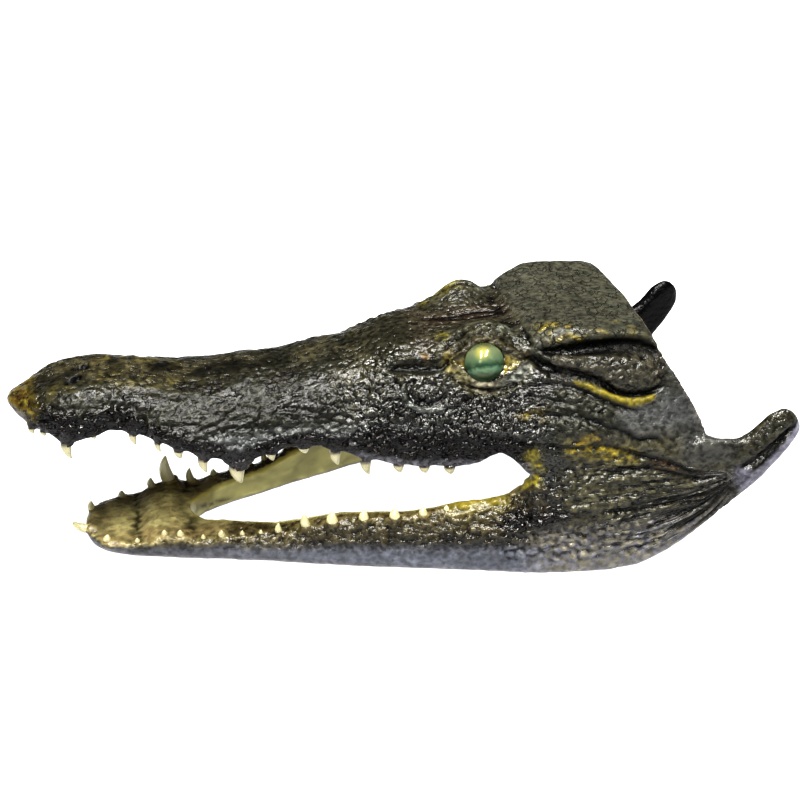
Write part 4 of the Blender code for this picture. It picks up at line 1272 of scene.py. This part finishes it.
# painted shadow: a dark ring where the tissue meets the ball
painted_shadow_by_ball = opening * smooth_step(10.2, 9.5, np.hypot(back, up))
dab(painted_shadow_by_ball, rgb(30, 26, 14), gloss=0.2)
# painted shadow: a thin dark line along the lower edge of the opening
dab(np.exp(-(((edge + 0.1) / 0.55) ** 2)) * smooth_step(3.0, -2.0, up), rgb(18, 15, 10))
print("lid vertices:", int((band > 0.5).sum()))

# %% [markdown]
# Gums are painted round each tooth's root, rougher round the long teeth, whose collars are tall. The
# upper ones are a dark grey. The lower ones are a thin, worn brown, so they are laid on more lightly.

# %% Gums
gum = np.zeros(len(points))
gum_low = np.zeros(len(points))
long_tooth = np.zeros(len(points))
for tooth in teeth:
    root = np.array(((tooth["root"].x - cad_low.x) / MM, abs(tooth["root"].y) / MM, tooth["root"].z / MM))
    near = np.nonzero((abs(points - root) < 8.0).all(1) & (side == np.sign(tooth["root"].y)))[0]
    gap = np.linalg.norm(points[near] - root, axis=1)
    mark = np.exp(-((gap / (1.9 * tooth["radius"] / MM)) ** 2))
    length = (tooth["tip"] - tooth["root"]).length / MM
    long_tooth[near] = np.maximum(long_tooth[near], length * (mark > 0.1))
    into = gum if tooth["upper"] else gum_low
    into[near] = np.maximum(into[near], mark)
dab(gum * smooth_step(5.2, 7.8, long_tooth), rgb(44, 42, 43), gloss=0.24, grain=0.9, dull=0.2)
dab(gum * smooth_step(7.8, 5.2, long_tooth), rgb(42, 40, 40), gloss=0.24, grain=0.5)
dab(gum_low * 0.6, rgb(84, 76, 50), gloss=0.26, grain=0.3)
print("gums:", int((np.maximum(gum, gum_low) > 0.5).sum()), "vertices")

# %% [markdown]
# Then the shape itself guides the brush: the crevices are painted near-black as painted shade, and the high
# spots are made lighter. Both were found when the coat was begun, by comparing a vertex with the mean of
# its neighbours.
# Last, the values are stored at the vertices, where the material can read them.

# %% Crevices, high spots and the stored coat
# painted shade: the crevices darkened towards near-black
dab(smooth_step(0.06, 0.42, hollow) * 0.9, rgb(7, 6, 5))
# the high spots made up to half as light again
high = smooth_step(-0.12, -0.45, hollow) * (1.0 - 0.7 * table)
coat["paint"] *= (1.0 + 0.55 * high)[:, None]
coat["paint"] *= (1.0 + 0.25 * cloud_4 + 0.35 * cloud_9)[:, None]


def keep_attribute(mesh, name, values, kind="FLOAT"):
    """Stores a number, vector or colour for every vertex under a name that a material can read."""
    layer = mesh.attributes.new(name, kind, "POINT")
    field = {"FLOAT": "value", "FLOAT_VECTOR": "vector", "FLOAT_COLOR": "color"}[kind]
    layer.data.foreach_set(field, values.ravel())


paint = np.clip(coat.pop("paint"), 0.0, 1.5)
keep_attribute(hide.data, "paint", np.hstack([paint, np.ones((len(paint), 1))]), "FLOAT_COLOR")
for name, values in coat.items():
    keep_attribute(hide.data, name, np.clip(values, 0.0, 1.5))
keep_attribute(hide.data, "gathered", gathered)
keep_attribute(hide.data, "drape", drape, "FLOAT_VECTOR")
print("paint from", paint.min(0).round(3), "to", paint.max(0).round(3))

# %% [markdown]
# Some wrinkles are too fine for the mesh. Small cells and noise, both warped, give their height, which
# feeds the bump and is also painted in as shade: darker at the deepest points and lighter at the highest.
# Behind the mouth a noise that is read along the fan draws the creases, darkened with painted shade too,
# and on the skull's table the edges of larger cells draw the cracks. The flecks are worn gold paint, which
# only shows as small broken spots.

# %% The hide's fine relief and colour
WARP_SCALE = 320.0
WARP_MM = 2.4

skin = Finish("lacquered_hide")
paint_colour = skin.painted("paint", "Color")
grain = skin.painted("grain")
pull = {"Vector": skin.place, "Scale": WARP_SCALE, "Detail": 2.0}
warped = skin.node("ShaderNodeVectorMath", {"operation": "MULTIPLY_ADD"}, {
    0: skin.node("ShaderNodeTexNoise", {}, pull, "Color"),
    1: (WARP_MM * MM,) * 3,
    2: skin.stretched((0.85, 1.0, 1.0)),
})
pits = skin.cells(2.3, "SMOOTH_F1", warped)
crumple = skin.cloud(2.0, 1.0, 0.5, warped)
pores = skin.cloud(0.6, 1.0)
height = pits * 0.9 + crumple * 0.9
drawn_folds = {"Vector": skin.painted("drape", "Vector"), "Scale": 1.0, "Detail": 1.0}
fold_noise = skin.node("ShaderNodeTexNoise", {}, drawn_folds)
crease = skin.painted("gathered") * (1.0 - fold_noise.math("ABSOLUTE", fold_noise - 0.5).over(0.0, 0.09))
speckle = skin.cloud(2.0, 4.0, 0.65).over(0.53, 0.64)
fleck = skin.painted("fleck") * speckle
rough = grain.over(0.0, 0.6)
cracks = 1.0 - skin.cells(3.4, "DISTANCE_TO_EDGE", warped).over(0.0, 0.10)
crack = cracks * skin.painted("cracked") * skin.cloud(7.0, 1.0).over(0.42, 0.55)
# painted shade: the fine relief's pits darker and its tops lighter, and the gathered creases darker below
shade = (0.9 + (height.over(0.5, 1.15) * 1.1 - 0.55) * rough) * (1.0 - crack * 0.6)
shaded_paint = skin.tone(paint_colour, shade * (1.0 - crease * 0.55))
flecked = skin.blend(fleck * 0.6, shaded_paint, (*rgb(128, 116, 58), 1.0))
print("nodes so far:", len(skin.tree.nodes))

# %% [markdown]
# The lacquer is a clear wet film over the paint. Its low roughness turns each small wrinkle into a
# glint, which is most of what the eye sees of this skin. Where the lacquer has sunk in, a second, dry
# shader is mixed over the varnished one by the painted dull share.

# %% The lacquer
RELIEF_MM = 1.3

worn = skin.cloud(6.0, 3.0).over(0.35, 0.7)
wet = skin.painted("gloss") + worn * 0.10 - 0.10
fine_bump = skin.bump(pores, 0.06, 0.5)
relief = skin.bump(height * grain - crease * 0.5 - crack * 0.5, RELIEF_MM, 1.0, fine_bump)
dry = skin.node("ShaderNodeBsdfPrincipled", {}, {
    "Base Color": skin.tone(flecked, 0.9), "Roughness": 0.55, "Specular IOR Level": 0.08, "Normal": relief,
})
varnished = Wire(skin, skin.shader.outputs[0])
surface = skin.node("ShaderNodeMixShader", {}, {"Fac": skin.painted("dull"), 1: varnished, 2: dry})
skin.plug(skin.tree.nodes["Material Output"].inputs["Surface"], surface)
hide.data.materials.clear()
hide.data.materials.append(skin.set(
    Base_Color=flecked,
    Roughness=wet,
    IOR=1.45,
    Coat_Weight=0.15,
    Coat_Roughness=0.12,
    Normal=relief,
))
print("nodes in the finish:", len(skin.tree.nodes))
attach(hide, "root")
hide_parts(*FLESH)

# %% [markdown]
# The teeth are cones with a slight backward curve, widest just outside the gum. One master tooth is
# turned from a profile with a Screw modifier, as on a lathe, because all of them have the same plan.

# %% The master tooth
TOOTH_PROFILE = ((0.0, -0.14), (0.45, -0.10), (0.80, 0.0), (0.96, 0.10), (1.0, 0.20), (0.94, 0.38),
                 (0.80, 0.56), (0.60, 0.73), (0.38, 0.87), (0.18, 0.965), (0.0, 1.0))
TOOTH_SIDES = 14

profile = bpy.data.meshes.new("master_tooth")
profile.from_pydata([(radius, 0.0, height) for radius, height in TOOTH_PROFILE],
                    [(index, index + 1) for index in range(len(TOOTH_PROFILE) - 1)], [])
master = bpy.data.objects.new("master_tooth", profile)
bpy.context.collection.objects.link(master)
work(master, "SCREW", steps=TOOTH_SIDES, render_steps=TOOTH_SIDES, use_merge_vertices=True,
     merge_threshold=0.001)
turned = bmesh.new()
turned.from_mesh(master.data)
bmesh.ops.remove_doubles(turned, verts=turned.verts, dist=0.001)
bmesh.ops.recalc_face_normals(turned, faces=turned.faces)
turned.to_mesh(master.data)
turned.free()
print("master tooth:", len(master.data.polygons), "faces")

# %% [markdown]
# A copy of the master is stretched to each tooth's length and width, with faint ribs along it, turned
# into its place and bowed backwards. No two are alike: a noise changes their width. The rear upper
# teeth stand further out of their gums than the frame's plain cones, so those are drawn longer. Each
# row is one piece.

# %% The rows of teeth
REAR_TEETH_MM = 145.0
REAR_TEETH_LONGER = 1.45
TOOTH_WIDER = 1.5
TOOTH_BOW = 0.10


def set_tooth(tooth, number):
    """A copy of the master tooth in its place, with its height along the tooth stored for the finish."""
    mesh = master.data.copy()
    axis = tooth["tip"] - tooth["root"]
    if tooth["upper"] and tooth["root"].x > cad_low.x + REAR_TEETH_MM * MM:
        axis *= REAR_TEETH_LONGER
    turn = axis.to_track_quat("Z", "X").to_matrix()
    shape = vertex_rows(mesh)
    height = shape[:, 2].copy()
    wobble = noise.noise(Vector((number * 1.7, 0.3, 0.0)))
    ribs = 1.0 + 0.03 * np.cos(6.0 * np.arctan2(shape[:, 1], shape[:, 0]) + number)
    radius = tooth["radius"] * (TOOTH_WIDER + 0.12 * wobble)
    radius = min(radius, 0.55 * axis.length)
    shape[:, 0] *= radius * ribs
    shape[:, 1] *= radius * ribs * 0.94
    shape[:, 2] *= axis.length
    placed = shape @ np.array(turn).T + np.array(tooth["root"])
    bow = TOOTH_BOW * axis.length * np.clip(4.0 * height * (1.0 - height), 0.0, 1.0)
    placed[:, 0] -= bow
    placed[:, 1] += 0.5 * bow * np.sign(tooth["root"].y)
    mesh.vertices.foreach_set("co", placed.ravel())
    keep_attribute(mesh, "height", np.clip(height + (0.0 if tooth["upper"] else 0.3), 0.0, 1.0))
    thing = bpy.data.objects.new(f"tooth_{number}", mesh)
    bpy.context.collection.objects.link(thing)
    return thing


def row_of_teeth(name, chosen):
    made = [set_tooth(tooth, number) for number, tooth in enumerate(chosen)]
    only(made[0])
    for thing in made:
        thing.select_set(True)
    bpy.ops.object.join()
    row = bpy.context.object
    row.name = name
    row.data.shade_smooth()
    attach(row, "root")
    return row


teeth_upper = row_of_teeth("teeth_upper", [tooth for tooth in teeth if tooth["upper"]])
teeth_lower = row_of_teeth("teeth_lower", [tooth for tooth in teeth if not tooth["upper"]])
bpy.data.objects.remove(master)
print("teeth:", len(teeth_upper.data.polygons) + len(teeth_lower.data.polygons), "faces")

# %% [markdown]
# Old enamel is cream, paler towards the tip and stained brown at the gum, with fine cracks along its
# length. The height stored at each vertex mixes the colours. A little light passes under the surface,
# as in ivory.

# %% Enamel
enamel = Finish("stained_enamel")
along = enamel.painted("height")
stain = enamel.cloud(1.6, 3.0)
body = enamel.blend(along.over(0.05, 0.55), (*rgb(106, 99, 70), 1.0), (*rgb(168, 162, 128), 1.0))
tipped = enamel.blend(along.over(0.62, 1.0) * 0.6, body, (*rgb(166, 160, 126), 1.0))
stained = enamel.blend((0.36 - along).over(0.0, 0.2) * 0.92, tipped, (*rgb(38, 36, 33), 1.0))
stained = enamel.blend(stain.over(0.5, 0.7) * 0.35, stained, (*rgb(104, 96, 64), 1.0))
cracks = enamel.cloud(0.9, 2.0, 0.5, enamel.stretched((1.0, 1.0, 0.18)))
for row in (teeth_upper, teeth_lower):
    row.data.materials.clear()
    row.data.materials.append(enamel.material)
enamel.set(
    Base_Color=stained,
    Roughness=0.16 + stain * 0.2,
    IOR=1.54,
    Subsurface_Weight=0.15,
    Subsurface_Radius=(0.7, 0.6, 0.4),
    Subsurface_Scale=0.001,
    Coat_Weight=0.3,
    Normal=enamel.bump(cracks, 0.12, 0.5),
)
print("enamel on", len(teeth), "teeth")

# %% [markdown]
# Each glass eye starts as a ball. Its front is drawn out a little, as a clear cornea bulges, and its
# hidden back is pressed flatter. A vector stored at every vertex says where it lies on the eye as seen
# from straight in front, for the finish to draw by.

# %% Glass eyes
CORNEA_BULGE = 0.03
FLAT_BACK = 0.12


def glass_eye(name, turn):
    centre, radius = eye_ball(name)
    bpy.ops.mesh.primitive_uv_sphere_add(segments=72, ring_count=40, radius=radius * 0.999, location=centre)
    ball = bpy.context.object
    ball.name = name + "_glass"
    bpy.ops.object.transform_apply(location=True, rotation=True, scale=True)
    ball.data.shade_smooth()
    spots = (vertex_rows(ball.data) - np.array(centre)) / radius
    spots[:, 1] *= turn
    axes = np.stack([EYE_BACK, EYE_UP, EYE_OUT], 1)
    seen_from_front = spots @ axes
    spots += EYE_OUT * (CORNEA_BULGE * smooth_step(0.5, 1.0, seen_from_front[:, 2]))[:, None]
    spots += EYE_OUT * (FLAT_BACK * smooth_step(-0.4, -1.0, seen_from_front[:, 2]))[:, None]
    spots[:, 1] *= turn
    ball.data.vertices.foreach_set("co", (spots * radius + np.array(centre)).ravel())
    keep_attribute(ball.data, "gaze", seen_from_front, "FLOAT_VECTOR")
    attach(ball, "root")
    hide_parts(name)
    return ball


eyes = [glass_eye(name, turn) for name, turn in EYE_SIDES.items()]
print("eyes:", [ball.name for ball in eyes])

# %% [markdown]
# The glass is green and backed with foil, so its colour seems to lie inside. Clear glass over a painted
# back would need rays bent twice, and an exported model would lose it. So the depth is drawn on the ball:
# pale and dark bands from top to bottom, clouded by a noise, a darker rim, the lid's painted shade at the
# top and a painted warm highlight below it, round the spot where the lamps glint.

# %% Green glass
glass = Finish("green_glass")
gaze = glass.painted("gaze", "Vector")
parts = {axis: glass.node("ShaderNodeSeparateXYZ", {}, {"Vector": gaze}, axis) for axis in "XYZ"}
swirling = {"Vector": gaze, "Scale": 2.2, "Detail": 3.0, "Distortion": 1.2}
swirl = glass.node("ShaderNodeTexNoise", {}, swirling)
depth = parts["Y"] * -1.0 + parts["X"] * 0.15 + (swirl - 0.5) * 0.5
clouded = glass.node("ShaderNodeValToRGB", {"stops": (
    (0.00, rgb(57, 58, 40)),
    (0.22, rgb(87, 92, 71)),
    (0.47, rgb(72, 86, 68)),
    (0.60, rgb(40, 58, 46)),
    (0.69, rgb(80, 104, 85)),
    (0.78, rgb(63, 77, 61)),
    (1.00, rgb(22, 40, 26)),
)}, {"Fac": depth * 0.5 + 0.5}, "Color")
rim_dark = (1.0 - parts["Z"]).over(0.45, 0.86)
rimmed = glass.blend(rim_dark * 0.85, clouded, (*rgb(24, 60, 34), 1.0))
lidded = glass.blend(parts["Y"].over(0.50, 0.95) * 0.75, rimmed, (*rgb(48, 50, 28), 1.0))
# painted highlight: a warm glow laid round the spot where the overhead lamps glint
painted_highlight_spot = {0: gaze, 1: (-0.12, 0.42, 0.9)}
glow = glass.node("ShaderNodeVectorMath", {"operation": "DISTANCE"}, painted_highlight_spot, "Value")
lit = glass.blend((1.0 - glow).over(0.50, 0.95) * 0.5, lidded, (*rgb(150, 142, 66), 1.0))
glass.set(
    Base_Color=lit,
    Roughness=0.13 + swirl * 0.05,
    IOR=1.42,
    Specular_Tint=(1.0, 0.95, 0.62, 1.0),
    Subsurface_Weight=0.2,
    Subsurface_Scale=0.002,
)
for ball in eyes:
    ball.data.materials.append(glass.material)
print("nodes in the glass:", len(glass.tree.nodes))

# %% [markdown]
# At the back, where the neck was cut, the bony plate with the round condyle shows. It is melted from
# its solid as the hide was, and roughened with two sizes of noise, because cleaned bone is pitted.

# %% The bone plate at the back
BONE_CLAY_MM = 0.7

plate = bmesh.new()
plate.from_mesh(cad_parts["occiput"].data)
bmesh.ops.remove_doubles(plate, verts=plate.verts, dist=0.001 * MM)
plate_mesh = bpy.data.meshes.new("occiput_bone")
plate.to_mesh(plate_mesh)
plate.free()
bone_plate = bpy.data.objects.new("occiput_bone", plate_mesh)
bpy.context.collection.objects.link(bone_plate)
work(bone_plate, "REMESH", mode="VOXEL", voxel_size=BONE_CLAY_MM * MM)
work(bone_plate, "SMOOTH", factor=0.5, iterations=6)
points, side = head_points(bone_plate.data)
normals = outward(bone_plate.data, side)
rough = 0.5 * sample(points, side, 6.0) + 0.3 * sample(points, side, 2.2)
points += normals * (rough - 0.15)[:, None]
put_back(bone_plate.data, points, side)
bone_plate.data.shade_smooth()
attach(bone_plate, "root")
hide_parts("occiput")
print("bone plate:", len(bone_plate.data.polygons), "faces")

# %% [markdown]
# Old bone is a warm brown in large blotches, darker in its pores and where dirt has settled. It carries
# no lacquer, so it is dull all over, and a little rougher where the grit is.

# %% Stained bone
bone = Finish("stained_bone")
grit = bone.cloud(1.2, 4.0, 0.6)
blotch = bone.cloud(9.0, 3.0)
pore = bone.cells(1.6, "F1")
base = bone.blend(blotch.over(0.35, 0.65), (*rgb(150, 128, 84), 1.0), (*rgb(92, 72, 42), 1.0))
dirty = bone.blend((0.42 - pore).over(0.0, 0.3) * 0.6, base, (*rgb(44, 32, 20), 1.0))
bone_plate.data.materials.clear()
bone_plate.data.materials.append(bone.set(
    Base_Color=bone.blend(grit.over(0.5, 0.75) * 0.5, dirty, (*rgb(66, 50, 30), 1.0)),
    Roughness=0.5 + grit * 0.25,
    Normal=bone.bump(grit + pore * 0.5, 0.5, 0.6),
))
print("nodes in the bone:", len(bone.tree.nodes))

# %% [markdown]
# The visual model's box is printed, to set beside the frame's box printed at the start.

low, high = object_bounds()
print("visual size:", [round(value / MM, 1) for value in high - low], "mm")
